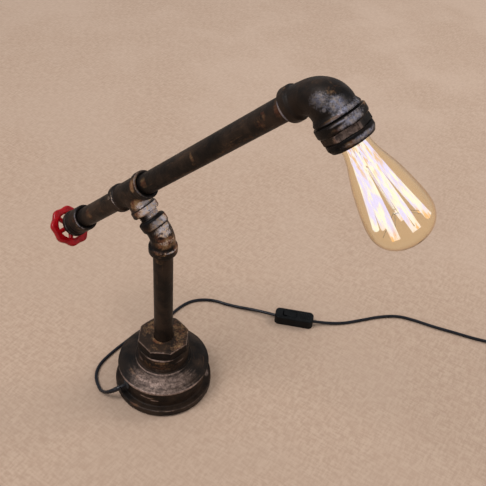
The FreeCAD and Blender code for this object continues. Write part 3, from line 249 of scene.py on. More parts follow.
# ---- materials
SHADE_BLACK = srgb(11, 9, 9)
DARK = srgb(25, 20, 17)
BROWN = srgb(50, 38, 30)
BRONZE = srgb(98, 72, 52)
RUST = srgb(104, 58, 40)
TAN = srgb(146, 114, 80)
LILAC = srgb(150, 150, 168)
BEIGE = srgb(160, 148, 142)
SILVER = srgb(196, 190, 198)
CREAM = srgb(206, 176, 148)
GREY_BROWN = srgb(112, 93, 85)
PINK_GREY = srgb(156, 133, 121)


def iron(name, bronze=0.58, rust=0.5, shine=0.5, worn=(LILAC, BEIGE), grain=1.0,
         lean=0.0, drawn=1.0, turned=0.0, light=0.0, stain=0.85):
    """Blackened iron, dry-brushed with bronze, rusty in patches and rubbed bright on what stands proud.

    bronze, rust and shine are the levels above which each shows, so a lower level shows more; shine is the
    level for rubbed wear and painted highlights together. worn are the two colours of bare metal and of
    painted highlights, grain is how broken up they are and light how brown the ground is. Where paint()
    marked shade, it is painted near black.
    The brush went along an axis (lean, drawn), or round the upright one (turned), where it left fine
    lines and few dots. stain is the most that rust covers.
    """
    finish = Finish(name, Specular_IOR_Level=0.12)
    place = finish.place()
    relief = finish.attribute("relief")
    painted_shade = finish.attribute("painted_shade")
    speckle = finish.noise(place, 700, 3.0, 0.75)
    tone = finish.noise(place, 45, 4.0)
    cloud = finish.noise(place, 80, 5.0, 0.65, 0.6)
    patchy = finish.noise(place, 300, 5.0, 0.7, 0.5)
    if turned:
        brushed, fineness, lines, dots = finish.turned(turned), 480, 3.3, 0.9
    else:
        brushed, fineness, lines, dots = finish.place(lean, drawn), 170, 1.8, 2.0
    streak = finish.noise(brushed, fineness, 6.0, 0.7, 0.3)

    colour = finish.mix(finish.step(finish.total(tone, light), 0.38, 0.64), DARK, BROWN)
    bronze_level = finish.total(streak, finish.times(relief, 0.10))
    bronze_share = finish.step(bronze_level, bronze, bronze + 0.16, 0.0, 0.8)
    bronze_share = finish.times(bronze_share, finish.step(speckle, 0.3, 0.6))
    colour = finish.mix(bronze_share, colour, BRONZE)

    rust_mark = finish.times(finish.attribute("rust"), 0.8)
    rust_level = finish.total(rust_mark, finish.about(patchy, 1.6), finish.about(cloud, 1.2),
                              finish.about(speckle, 0.8))
    rust_share = finish.step(rust_level, rust, rust + 0.7, 0.0, stain)
    colour = finish.mix(rust_share, colour, finish.mix(finish.step(streak, 0.36, 0.62), RUST, TAN))

    # rubbed wear on what stands proud, plus the painted highlights that paint() marked
    mark = finish.total(finish.times(relief, 0.55), finish.attribute("shine"))
    broken = (finish.about(patchy, 1.3 * grain), finish.about(streak, lines * grain),
              finish.about(speckle, dots * grain))
    level = finish.total(mark, *broken)
    share = finish.step(level, shine, shine + 1.0)
    # painted shade, where paint() marked it, clears the bare metal and takes the colour near black
    share = finish.times(share, finish.math("SUBTRACT", 1.0, painted_shade))
    colour = finish.mix(share, colour, finish.mix(finish.step(patchy, 0.38, 0.62), *worn))
    finish.set("Base Color", finish.mix(painted_shade, colour, SHADE_BLACK))
    finish.set("Metallic", finish.step(share, 0.0, 1.0, 0.0, 0.4))
    matt = finish.total(finish.step(cloud, 0.4, 0.7, 0.42, 0.6), finish.about(speckle, 0.25))
    finish.set("Roughness", finish.math("SUBTRACT", matt, finish.times(share, 0.14)))
    skin = finish.bump(finish.noise(place, 420, 5.0, 0.6), 0.28)
    finish.set("Normal", finish.bump(streak, 0.14, skin))
    return finish.material


def metal(name, colour, roughness):
    """Plain metal with fine lines and a little tarnish."""
    finish = Finish(name, Metallic=1.0)
    lines = finish.noise(finish.place(), 600, 3.0)
    tarnish = finish.noise(finish.place(), 120, 4.0)
    darker = tuple(0.6 * channel for channel in colour[:3]) + (1.0,)
    finish.set("Base Color", finish.mix(finish.step(tarnish, 0.35, 0.75), colour, darker))
    finish.set("Roughness", finish.step(lines, 0.2, 0.8, roughness * 0.7, roughness * 1.4))
    finish.set("Normal", finish.bump(lines, 0.03))
    return finish.material


def red_paint(name):
    """Thick glossy paint with runs, painted darker in the casting's hollows as shade, and chipped to brown
    on what stands proud.
    """
    finish = Finish(name, Coat_Weight=0.12, Coat_Roughness=0.12, Specular_IOR_Level=0.25)
    place = finish.place()
    relief = finish.attribute("relief")
    pool = finish.noise(place, 160, 3.0)
    colour = finish.mix(finish.step(pool, 0.3, 0.7), srgb(134, 2, 9), srgb(164, 8, 18))
    # painted shade: the hollows are darker red
    colour = finish.mix(finish.step(relief, -0.7, -0.1, 0.85, 0.0), colour, srgb(66, 2, 8))
    chip = finish.total(relief, finish.math("SUBTRACT", finish.noise(place, 500, 4.0, 0.7), 0.5))
    colour = finish.mix(finish.step(chip, 0.85, 0.95, 0.0, 0.6), colour, srgb(60, 30, 26))
    finish.set("Base Color", colour)
    finish.set("Roughness", finish.step(pool, 0.3, 0.7, 0.2, 0.34))
    finish.set("Normal", finish.bump(finish.noise(place, 260, 2.0), 0.2))
    return finish.material


def moulded(name, colour, roughness, grain_scale=1500, grain_depth=0.05, coat=0.0, shine=0.5):
    """Moulded plastic or rubber: one colour, faintly mottled, with a fine skin."""
    finish = Finish(name, Coat_Weight=coat, Coat_Roughness=0.25, Specular_IOR_Level=shine)
    place = finish.place()
    cloud = finish.noise(place, 90, 4.0)
    lighter = tuple(min(1.0, 1.35 * channel + 0.004) for channel in colour[:3]) + (1.0,)
    finish.set("Base Color", finish.mix(finish.step(cloud, 0.35, 0.7), colour, lighter))
    finish.set("Roughness", finish.step(cloud, 0.3, 0.7, roughness * 0.85, roughness * 1.15))
    finish.set("Normal", finish.bump(finish.noise(place, grain_scale, 2.0), grain_depth))
    return finish.material


def glass(name, tint, edge_tint, roughness=0.0, glow=0.0):
    """Blown glass with faint waves, deeper in colour where the wall is seen edge on.

    glow is the light of the lamp's own strands that the wall scatters.
    """
    finish = Finish(name, Transmission_Weight=1.0, IOR=1.3, Roughness=roughness,
                    Specular_Tint=(0.3, 0.22, 0.14, 1.0))
    edge = finish.add("LayerWeight", {"Blend": 0.5}).outputs["Facing"]
    finish.set("Base Color", finish.mix(finish.step(edge, 0.55, 0.93), tint, edge_tint))
    finish.set("Emission Color", srgb(255, 226, 184))
    finish.set("Emission Strength", glow)
    finish.set("Normal", finish.bump(finish.noise(finish.place(), 60, 1.0), 0.03))
    return finish.material


def lit_filament(name):
    """White hot with faint hues, warmer by the lampholder and duller at the far hooks."""
    finish = Finish(name, Base_Color=srgb(60, 52, 44), Roughness=0.5, Specular_IOR_Level=0.1)
    spot = finish.add("TexCoord").outputs["Object"]
    from_head = finish.add("VectorMath", {0: spot, 1: HEAD.translation * MM}, operation="SUBTRACT")
    axis = HEAD.to_3x3() @ Vector((0, 0, 1))
    inputs = {0: from_head.outputs[0], 1: axis}
    height = finish.add("VectorMath", inputs, operation="DOT_PRODUCT").outputs["Value"]
    along = finish.place(180 - LEAN, 6.0)
    broad, fine = finish.noise(along, 260, 2.0), finish.noise(along, 420, 2.0)
    hot = finish.mix(finish.step(broad, 0.42, 0.58), srgb(236, 236, 222), srgb(214, 210, 255))
    near = finish.step(height, (FAN_LOW + 8) * MM, (FAN_LOW + 30) * MM, 1.0, 0.15)
    warm = finish.times(finish.step(fine, 0.5, 0.6), near)
    hot = finish.mix(warm, hot, srgb(220, 186, 150))
    ends = finish.mix(finish.step(fine, 0.46, 0.6), srgb(232, 220, 216), srgb(228, 180, 124))
    far = finish.step(height, (FAN_HIGH - 12) * MM, FAN_HIGH * MM)
    finish.set("Emission Color", finish.mix(far, hot, ends))
    finish.set("Emission Strength", 1.22)
    return finish.material


def woven_strap(name):
    finish = Finish(name, Sheen_Weight=0.4)
    weave = finish.add("TexWave", {"Vector": finish.place(), "Scale": 900.0, "Distortion": 1.5}).outputs[1]
    finish.set("Base Color", finish.mix(weave, srgb(18, 18, 19), srgb(44, 44, 46)))
    finish.set("Roughness", finish.step(weave, 0.0, 1.0, 0.7, 0.95))
    finish.set("Normal", finish.bump(weave, 0.2))
    return finish.material


MATERIALS = {
    "dark_iron": iron("dark_iron", grain=0.7, light=-0.04, stain=0.6),
    "bell_iron": iron("bell_iron", bronze=0.6, rust=0.56, shine=0.4, worn=(GREY_BROWN, PINK_GREY),
                      grain=0.34, turned=3.0),
    "dark_pipe": iron("dark_pipe", bronze=0.56, rust=0.6, shine=1.0, light=0.02),
    "worn_thread": iron("worn_thread", bronze=0.5, rust=0.5, shine=0.35, worn=(SILVER, CREAM)),
    "plain_steel": metal("plain_steel", srgb(168, 168, 172), 0.3),
    "red_paint": red_paint("red_paint"),
    "pad_rubber": moulded("pad_rubber", srgb(30, 30, 31), 0.85, 1200, 0.1),
    "brass": metal("brass", srgb(206, 170, 100), 0.28),
    "tin": metal("tin", srgb(196, 195, 190), 0.3),
    "ceramic": moulded("ceramic", srgb(232, 228, 218), 0.25, 400, 0.03, 0.6),
    "black_glass": moulded("black_glass", srgb(16, 16, 18), 0.12, 300, 0.02, 0.8),
    "amber_glass": glass("amber_glass", (1.0, 0.94, 0.79, 1.0), (0.62, 0.40, 0.20, 1.0), 0.09, 0.014),
    "clear_glass": glass("clear_glass", (1.0, 0.97, 0.92, 1.0), (0.95, 0.88, 0.76, 1.0), 0.05),
    "molybdenum": metal("molybdenum", srgb(150, 146, 140), 0.35),
    "filament": lit_filament("filament"),
    "black_plastic": moulded("black_plastic", srgb(8, 9, 10), 0.55, 1500, 0.06, shine=0.14),
    "black_pvc": moulded("black_pvc", srgb(7, 8, 17), 0.3, 700, 0.03, shine=0.35),
    "wire_brown": moulded("wire_brown", srgb(92, 50, 30), 0.5),
    "terminal_plastic": moulded("terminal_plastic", srgb(226, 224, 214), 0.5),
    "strap": woven_strap("strap"),
}
# finishes of single pieces, whose slots are shared with others
BUSHING_IRON = iron("bushing_iron", bronze=0.52, rust=0.36, shine=0.34, worn=(GREY_BROWN, PINK_GREY),
                    grain=0.45, light=0.04)
WORN_IRON = iron("worn_iron", bronze=0.56, rust=0.45, shine=0.6, worn=(SILVER, CREAM), grain=1.5)
UPRIGHT_PIPE = iron("dark_pipe_upright", bronze=0.56, rust=0.6, shine=1.0, drawn=7.0, light=0.02,
                    stain=0.5)
LEANING_PIPE = iron("dark_pipe_leaning", bronze=0.56, rust=0.6, shine=1.0, lean=LEAN, drawn=7.0,
                    light=-0.02, stain=0.42)


# ---- mesh helpers
def rounded(corners, step=0.9):
    """Points along (radius, height[, round]) corners, with rounds as arcs and long runs divided."""
    points = []
    count = len(corners)
    for index, corner in enumerate(corners):
        here = Vector(corner[:2])
        radius = corner[2] if len(corner) > 2 else 0
        if not radius:
            points.append(here)
            continue
        before = (Vector(corners[index - 1][:2]) - here).normalized()
        after = (Vector(corners[(index + 1) % count][:2]) - here).normalized()
        half = before.angle(after) / 2
        setback = radius / math.tan(half)
        centre = here + (before + after).normalized() * (radius / math.sin(half))
        start = here + before * setback - centre
        end = here + after * setback - centre
        sweep = start.angle_signed(end)
        pieces = max(3, int(abs(sweep) * radius / step * 1.5) + 1)
        for piece in range(pieces + 1):
            arm = start.copy()
            arm.rotate(Matrix.Rotation(-sweep * piece / pieces, 2))
            points.append(centre + arm)
    dense = []
    for index, point in enumerate(points):
        following = points[(index + 1) % len(points)]
        pieces = max(1, round((following - point).length / step))
        dense += [point.lerp(following, piece / pieces) for piece in range(pieces)]
    return dense


def ring(build, radii, height):
    """A ring of vertices round Z at a height in millimetres, with its radii in order round it."""
    vertices = []
    for index, radius in enumerate(radii):
        angle = 2 * math.pi * index / len(radii)
        spot = (radius * math.cos(angle), radius * math.sin(angle), height)
        vertices.append(build.verts.new([value * MM for value in spot]))
    return vertices


def skinned(build, rings, name, closed=True):
    """The mesh of rings of vertices that are joined in order, and the last to the first if it is closed."""
    for lower, upper in zip(rings, rings[1:] + (rings[:1] if closed else [])):
        for index in range(len(lower)):
            after = (index + 1) % len(lower)
            corners = [lower[index], lower[after], upper[after], upper[index]]
            unique = [vertex for place, vertex in enumerate(corners) if vertex not in corners[:place]]
            if len(unique) > 2:
                build.faces.new(unique)
    if not closed:
        build.faces.new(rings[0])
        build.faces.new(rings[-1])
    bmesh.ops.recalc_face_normals(build, faces=build.faces)
    mesh = bpy.data.meshes.new(name)
    build.to_mesh(mesh)
    build.free()
    return mesh


def spun(profile, segments=128):
    """A mesh turned about Z from (radius, height) points."""
    build = bmesh.new()
    rings = []
    for radius, height in profile:
        if radius < 1e-4:
            rings.append([build.verts.new((0, 0, height * MM))] * segments)
        else:
            rings.append(ring(build, [radius] * segments, height))
    return skinned(build, rings, "spun")


def roughen(mesh, waves):
    """Moves a mesh's surface by smooth noise. A wave is (size, height), in millimetres."""
    mesh.update()
    for vertex, normal in [(vertex, vertex.normal.copy()) for vertex in mesh.vertices]:
        shift = sum(height * noise.noise(vertex.co / (size * MM)) for size, height in waves)
        vertex.co += normal * (shift * MM)


def vertex_values(source, name):
    """One vector for each vertex, as rows of an array."""
    values = np.empty(len(source) * 3, np.float32)
    source.foreach_get(name, values)
    return values.reshape(-1, 3)


def store(mesh, name, values):
    layer = mesh.attributes.new(name, "FLOAT", "POINT")
    layer.data.foreach_set("value", np.clip(values, -2, 2).astype(np.float32))


def mark_relief(mesh, passes, reach):
    """Stores how far each vertex stands proud of the mesh around it, as a share of reach millimetres."""
    count = len(mesh.vertices)
    places = vertex_values(mesh.vertices, "co")
    ends = np.empty(len(mesh.edges) * 2, np.int32)
    mesh.edges.foreach_get("vertices", ends)
    near = np.concatenate([ends[0::2], ends[1::2]])
    far = np.concatenate([ends[1::2], ends[0::2]])
    neighbours = np.maximum(np.bincount(near, minlength=count), 1)
    smooth = places.copy()
    for _ in range(passes):
        total = np.stack([np.bincount(near, smooth[far, axis], count) for axis in range(3)], axis=1)
        smooth = 0.5 * smooth + 0.5 * total / neighbours[:, None]
    proud = ((places - smooth) * vertex_values(mesh.vertex_normals, "vector")).sum(axis=1)
    store(mesh, "relief", proud / (reach * MM))


# shine is rubbed wear together with painted highlights; soot is painted shade in mouths, creases and on the
# sides away from the lamps
LAYERS = WEAR_AND_HIGHLIGHT, RUSTY, PAINTED_SHADE = ("shine", "rust", "painted_shade")


def paint(mesh, place=UPRIGHT, patches=(), rings=()):
    """Stores each vertex's shares of wear and painted highlight, of rust and of painted shade, where more
    than 1 spreads the mark further.

    A patch is (layer, radius, azimuth, height, around, along, share): an oval on a round surface, whose
    share has halved at the reach around and along the axis that it names.
    A ring is (layer, inner radius, outer radius, low, high, share): all round the axis.
    Both are millimetres and degrees in the frame that place gives, seen from the mesh's own frame.
    """
    spots = vertex_values(mesh.vertices, "co") / MM
    turn = np.array(place.to_3x3())
    spots = spots @ turn.T + np.array(place.translation)
    radii = np.hypot(spots[:, 0], spots[:, 1])
    azimuths = np.arctan2(spots[:, 1], spots[:, 0])
    shares = {layer: np.zeros(len(spots)) for layer in LAYERS}
    for layer, radius, azimuth, height, around, along, share in patches:
        off = (azimuths - math.radians(azimuth) + math.pi) % (2 * math.pi) - math.pi
        across = (radii - radius) ** 2 + (spots[:, 2] - height) ** 2
        away = (radius * off / around) ** 2 + across / along ** 2
        shares[layer] = np.maximum(shares[layer], share * np.clip(1 - away / 2, 0, 1))
    for layer, inner, outer, low, high, share in rings:
        inside = (radii > inner) & (radii < outer) & (spots[:, 2] > low) & (spots[:, 2] < high)
        shares[layer] = np.maximum(shares[layer], share * inside)
    for layer, values in shares.items():
        if layer in mesh.attributes:
            before = np.empty(len(spots), np.float32)
            mesh.attributes[layer].data.foreach_get("value", before)
            mesh.attributes[layer].data.foreach_set("value", np.maximum(before, values).astype(np.float32))
        else:
            store(mesh, layer, values)


def declare(piece, body, replaces=()):
    """Says which body a piece rides on and which CAD nodes it stands for."""
    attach(piece, body)
    if replaces:
        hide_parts(*replaces)


def add_piece(name, mesh, body, slot, place=UPRIGHT, replaces=(), material=None):
    """Puts a mesh that was made in the frame that place gives on a body, in the row frame."""
    mesh.name = name
    mesh.transform(metres(place))
    mesh.materials.clear()
    mesh.materials.append(material or MATERIALS[slot])
    mesh.shade_smooth()
    piece = put(name, mesh)
    declare(piece, body, replaces)
    return piece


def add_curve(name, kind, spots, radius, resolution, slot):
    """A tube of a radius along one spline, whose points are in millimetres of the row frame."""
    curve = bpy.data.curves.new(name, "CURVE")
    curve.dimensions = "3D"
    curve.bevel_depth = radius * MM
    curve.bevel_resolution = resolution
    curve.materials.append(MATERIALS[slot])
    spline = curve.splines.new(kind)
    spline.points.add(len(spots) - 1)
    for point, spot in zip(spline.points, spots):
        point.co = (*(value * MM for value in spot), 1)
    return put(name, curve), spline


def cast_copy(node, place, voxel, passes=4):
    """A finer copy of a CAD node's mesh in its own frame, with the soft edges of a casting."""
    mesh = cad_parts[node].data.copy()
    mesh.transform(metres(place).inverted())
    rough = put("rough", mesh)
    remesh = rough.modifiers.new("remesh", "REMESH")
    remesh.mode = "VOXEL"
    remesh.voxel_size = voxel * MM
    soften = rough.modifiers.new("soften", "SMOOTH")
    soften.factor = 0.5
    soften.iterations = passes
    evaluated = rough.evaluated_get(bpy.context.evaluated_depsgraph_get())
    soft = bpy.data.meshes.new_from_object(evaluated)
    bpy.data.objects.remove(rough)
    bpy.data.meshes.remove(mesh)
    return soft


# ---- base
# Shine patches paint highlights on the dome's front, its rim, bead, flange edge and neck top, next to worn
# scratches on the groove wall; the soot patch paints shade on the dome's left.
BELL_PATCHES = [
    (WEAR_AND_HIGHLIGHT, 41, -62, 43.4, 44, 13, 1.05), (WEAR_AND_HIGHLIGHT, 50.5, -60, 39.5, 46, 5, 0.9),
    (WEAR_AND_HIGHLIGHT, 33.2, -75, 46.4, 34, 1, 1.3), (WEAR_AND_HIGHLIGHT, 53.4, -62, 36.8, 52, 1.5, 2),
    (WEAR_AND_HIGHLIGHT, 56.6, -62, 10, 60, 1, 0.25), (WEAR_AND_HIGHLIGHT, 49.5, -81, 22.9, 4, 0.8, 2),
    (WEAR_AND_HIGHLIGHT, 49.5, -74, 22.2, 5, 0.8, 2), (WEAR_AND_HIGHLIGHT, 49.5, -65, 19.5, 5, 0.8, 2),
    (RUSTY, 49.5, -72, 22.6, 10, 3, 0.9), (RUSTY, 42.7, -108, 42.9, 9, 3, 1.2),
    (RUSTY, 43.6, -96, 42.5, 9, 3, 1), (RUSTY, 37.5, -96, 44.3, 8, 3, 1),
    (RUSTY, 56.9, -88, 9.6, 9, 2, 1.2), (RUSTY, 57, -50, 9.6, 30, 0.8, 0.9),
    (WEAR_AND_HIGHLIGHT, 51.4, 37, 10.3, 6, 3, 1.5),
    (RUSTY, NECK_R, -62, 62.6, 13, 3, 1.2), (WEAR_AND_HIGHLIGHT, NECK_R, -62, 66.6, 14, 1, 1.6),
    (WEAR_AND_HIGHLIGHT, NECK_R, -114, 55.7, 5, 3, 0.9), (WEAR_AND_HIGHLIGHT, NECK_R, -12, 60, 7, 1.6, 1),
    (RUSTY, NECK_R, -70, 57, 30, 7, 0.9), (RUSTY, 50, 90, 39, 40, 6, 0.6),
    (PAINTED_SHADE, 45, -140, 42, 26, 12, 0.6), (RUSTY, 44, 30, 43, 34, 12, 0.4),
]
BELL_RINGS = [(RUSTY, 0, 49.9, 11.5, 34.8, 0.42), (RUSTY, 0, 30.2, 47.5, 66, 0.5)]


def make_bell():
    profile = rounded([
        (PLATE_HOLE_R, BELL_BOTTOM), (FLANGE_R, BELL_BOTTOM, 1.2), (FLANGE_R, FLANGE_TOP, 1.6),
        (GROOVE_R, FLANGE_TOP, 1.5), (GROOVE_R, RIM_BOTTOM - 1.2, 1.2), (RIM_R, RIM_BOTTOM, 0.7),
        (RIM_R, RIM_TOP, 2.0), (SHOULDER_R, SHOULDER_TOP, 34.0), (BEAD_R, BEAD_FOOT, 0.5),
        (BEAD_R - 1.0, BEAD_TOP, 0.7), (NECK_R, NECK_FOOT, 1.2), (NECK_R, NECK_TOP, 1.2),
        (NECK_BORE_R, NECK_TOP), (NECK_BORE_R, NECK_FOOT - 5.5), (CAVITY_R - 8, 36.2, 5.0),
        (CAVITY_R, 28.2, 5.0), (CAVITY_R, PLATE_TOP), (PLATE_HOLE_R, PLATE_TOP),
    ], 0.6)
    mesh = spun(profile, 250)
    roughen(mesh, [(14, 0.30), (5, 0.14)])
    mark_relief(mesh, 26, 0.5)
    paint(mesh, patches=BELL_PATCHES, rings=BELL_RINGS)
    add_piece("bell_casting", mesh, "base", "bell_iron", replaces=["base_bell"])


def make_casting(name, node, body, slot, place, voxel, passes=3, reach=0.4, proud=14, rough=1.0,
                 paints=(), material=None):
    """A casting after its CAD node, remeshed at voxel millimetres and softened by passes.

    Its relief is measured over proud rounds of smoothing, as a share of reach.
    paints are (frame, patches, rings), each frame in row coordinates.
    """
    mesh = cast_copy(node, place, voxel, passes)
    roughen(mesh, [(9, 0.16 * rough), (3, 0.06 * rough)])
    mark_relief(mesh, proud, reach)
    for frame_of_paint, patches, rings in paints:
        paint(mesh, frame_of_paint.inverted() @ place, patches, rings)
    return add_piece(name, mesh, body, slot, place, [node], material)


# The shine patch paints a highlight along the front of the top edge, and the soot ring paints shade on the
# sides under it.
OCTAGON_PATCHES = [
    (RUSTY, 12.5, -88, OCTAGON_TOP, 8, 3, 1.4), (RUSTY, 20, 57, OCTAGON_TOP, 22, 11, 0.9),
    (RUSTY, 19, 165, OCTAGON_TOP, 18, 9, 0.8), (RUSTY, 24, 0, OCTAGON_TOP, 14, 6, 0.9),
    (RUSTY, 20, -75, OCTAGON_TOP, 16, 8, 0.45), (WEAR_AND_HIGHLIGHT, 26, -62, OCTAGON_TOP - 0.5, 34, 1.2, 0.5),
]
OCTAGON_RINGS = [(PAINTED_SHADE, 25, 32, 60, OCTAGON_TOP - 1.6, 0.85)]


def node_extent(node, place):
    """The lowest and highest height of a CAD node along its own frame's Z, in millimetres."""
    into = place.inverted()
    heights = [(into @ (vertex.co / MM)).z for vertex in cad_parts[node].data.vertices]
    return min(heights), max(heights)


def make_pipe(name, node, body, place, material, patches):
    low, high = node_extent(node, place)
    profile = rounded([
        (BORE_R, low), (PIPE_R - 0.8, low), (PIPE_R, low + 0.8), (PIPE_R, high - 0.8),
        (PIPE_R - 0.8, high), (BORE_R, high),
    ], 1.5)
    mesh = spun(profile, 96)
    roughen(mesh, [(25, 0.08)])
    mark_relief(mesh, 6, 0.5)
    paint(mesh, patches=patches)
    add_piece(name, mesh, body, "dark_pipe", place, [node], material)


# ---- threaded nipple
NIPPLE_R = 10.4
NIPPLE_SIDES = 96
THREAD_PITCH = 1.814
THREAD_DEPTH = 0.85
THREAD_STEPS = 8


def thread_radius(height, turn):
    """The radius of a right-hand thread at a height and a share of a turn."""
    phase = (height / THREAD_PITCH - turn) % 1.0
    crest = 1 - abs(2 * phase - 1)
    return NIPPLE_R - THREAD_DEPTH * (1 - min(1.0, 1.25 * crest))


def make_nipple():
    """Short nipple with a real screw thread."""
    low, high = node_extent("branch_nipple", NIPPLE)
    rows = int((high - low) / THREAD_PITCH * THREAD_STEPS)
    turns = [index / NIPPLE_SIDES for index in range(NIPPLE_SIDES)]
    build = bmesh.new()
    rings = []
    for row in range(rows + 1):
        height = low + (high - low) * row / rows
        rings.append(ring(build, [thread_radius(height, turn) for turn in turns], height))
    for height in (high, low):
        rings.append(ring(build, [BORE_R] * NIPPLE_SIDES, height))
    mesh = skinned(build, rings, "nipple")
    mark_relief(mesh, 5, 0.4)
    # The shine patch paints a highlight across the front of the thread, and soot paints shade where it
    # meets the fittings.
    paint(mesh, patches=[
        (WEAR_AND_HIGHLIGHT, NIPPLE_R, -20, 26, 12, 6, 1.7), (PAINTED_SHADE, NIPPLE_R, -78, 25.5, 5, 6, 0.9),
        (RUSTY, NIPPLE_R, 30, 25.5, 5, 5, 0.8), (RUSTY, NIPPLE_R, -58, 27.5, 5, 3, 1),
    ], rings=[(PAINTED_SHADE, 0, 12, 20, 23.2, 0.7)])
    add_piece("threaded_nipple", mesh, "elbow", "worn_thread", NIPPLE, ["branch_nipple"])


# ---- elbow, tee and head
TEE_MOUTH = TEE_AT - TEE_BRANCH
LIP_R = 12.5
# Shine patches paint highlights, over rubbed wear, on the fronts of the fittings; soot paints shade in the
# creases behind the bands, in the mouths and on the far sides.
ELBOW_PAINTS = [
    (NIPPLE, [
        (WEAR_AND_HIGHLIGHT, 14.7, -12, 16.2, 12, 4, 1.7), (WEAR_AND_HIGHLIGHT, 12.9, -18, 7.4, 11, 4.4, 1.6),
        (WEAR_AND_HIGHLIGHT, 12.2, -23, 2, 11, 4, 1.4), (WEAR_AND_HIGHLIGHT, 14.7, -42, 14.6, 8, 4, 1.2),
        (WEAR_AND_HIGHLIGHT, 13.4, -60, 6, 7, 6, 0.7), (PAINTED_SHADE, 13.3, -74, 18, 6, 6, 1),
        (RUSTY, 14.7, 27, 17, 7, 5, 1.5), (RUSTY, 14, -62, 15, 7, 5, 1.3),
        (RUSTY, 13, -52, 3, 9, 5, 1.2),
    ], [(PAINTED_SHADE, 0, 16, 19.3, 23, 0.9), (PAINTED_SHADE, 0, 14.2, 10.8, 11.9, 0.85)]),
    (ELBOW, [
        (RUSTY, 11.3, -35, 2.4, 12, 4.6, 1.4), (RUSTY, 12.5, -43, -3.7, 12, 4.6, 1.3),
        (WEAR_AND_HIGHLIGHT, 12, -30, 0, 12, 3, 0.9), (PAINTED_SHADE, 13, -15, -9.4, 8, 1.4, 0.8),
        (PAINTED_SHADE, 10.9, -65, 5.3, 3, 1.6, 1), (WEAR_AND_HIGHLIGHT, 14.9, -10, -12.2, 7, 1.2, 1.4),
        (WEAR_AND_HIGHLIGHT, 14.9, -45, -11.6, 12, 1.2, 0.7), (RUSTY, 15, -69, -12.5, 10, 3.4, 1.1),
        (RUSTY, 15.2, 22, -12, 7, 6, 1.4), (RUSTY, 12.7, 20, -4, 5, 10, 1.3),
        (PAINTED_SHADE, 14.5, -133, -8, 12, 30, 0.9),
    ], []),
]
TEE_PAINTS = [
    (NIPPLE, [
        (WEAR_AND_HIGHLIGHT, 14.7, -20, 32.2, 13, 5, 1.8), (WEAR_AND_HIGHLIGHT, 14.7, 2, 33.5, 9, 5, 1.6),
        (WEAR_AND_HIGHLIGHT, 12.9, -22, 39.2, 10, 3.4, 1.7), (RUSTY, 12.9, -50, 42, 9, 6, 1.5),
        (RUSTY, 14.7, -58, 32.2, 10, 5, 1.7), (RUSTY, 14.7, 30, 32, 6, 5, 1.5),
        (PAINTED_SHADE, 14.7, 42, 30, 2, 3, 0.9),
    ], [(PAINTED_SHADE, 0, 14.6, 35.7, 36.8, 0.85), (PAINTED_SHADE, 0, 12.6, 27, TEE_MOUTH + 0.8, 0.5)]),
    (ARM, [
        (RUSTY, 14.7, -117, 19.4, 9, 5, 1.5), (WEAR_AND_HIGHLIGHT, 14.7, -92, -18.2, 10, 0.9, 1),
        (WEAR_AND_HIGHLIGHT, 14.7, -127, -21.4, 5, 3, 0.6), (PAINTED_SHADE, 12.9, -95, -12.5, 10, 4, 0.7),
        (PAINTED_SHADE, 14.7, -168, 20, 8, 6, 0.8), (PAINTED_SHADE, 14.7, -172, -20, 8, 6, 0.8),
        (RUSTY, 13.8, -140, TEE_RUN, 16, 1.5, 1.6), (WEAR_AND_HIGHLIGHT, 13.9, -105, TEE_RUN, 24, 0.8, 1.5),
        (PAINTED_SHADE, 13.8, 60, TEE_RUN, 50, 1.5, 0.8), (PAINTED_SHADE, 13.8, 60, -TEE_RUN, 60, 1.5, 0.8),
    ], [(PAINTED_SHADE, 0, LIP_R, TEE_RUN - 1.2, TEE_RUN + 1, 0.95)]),
]
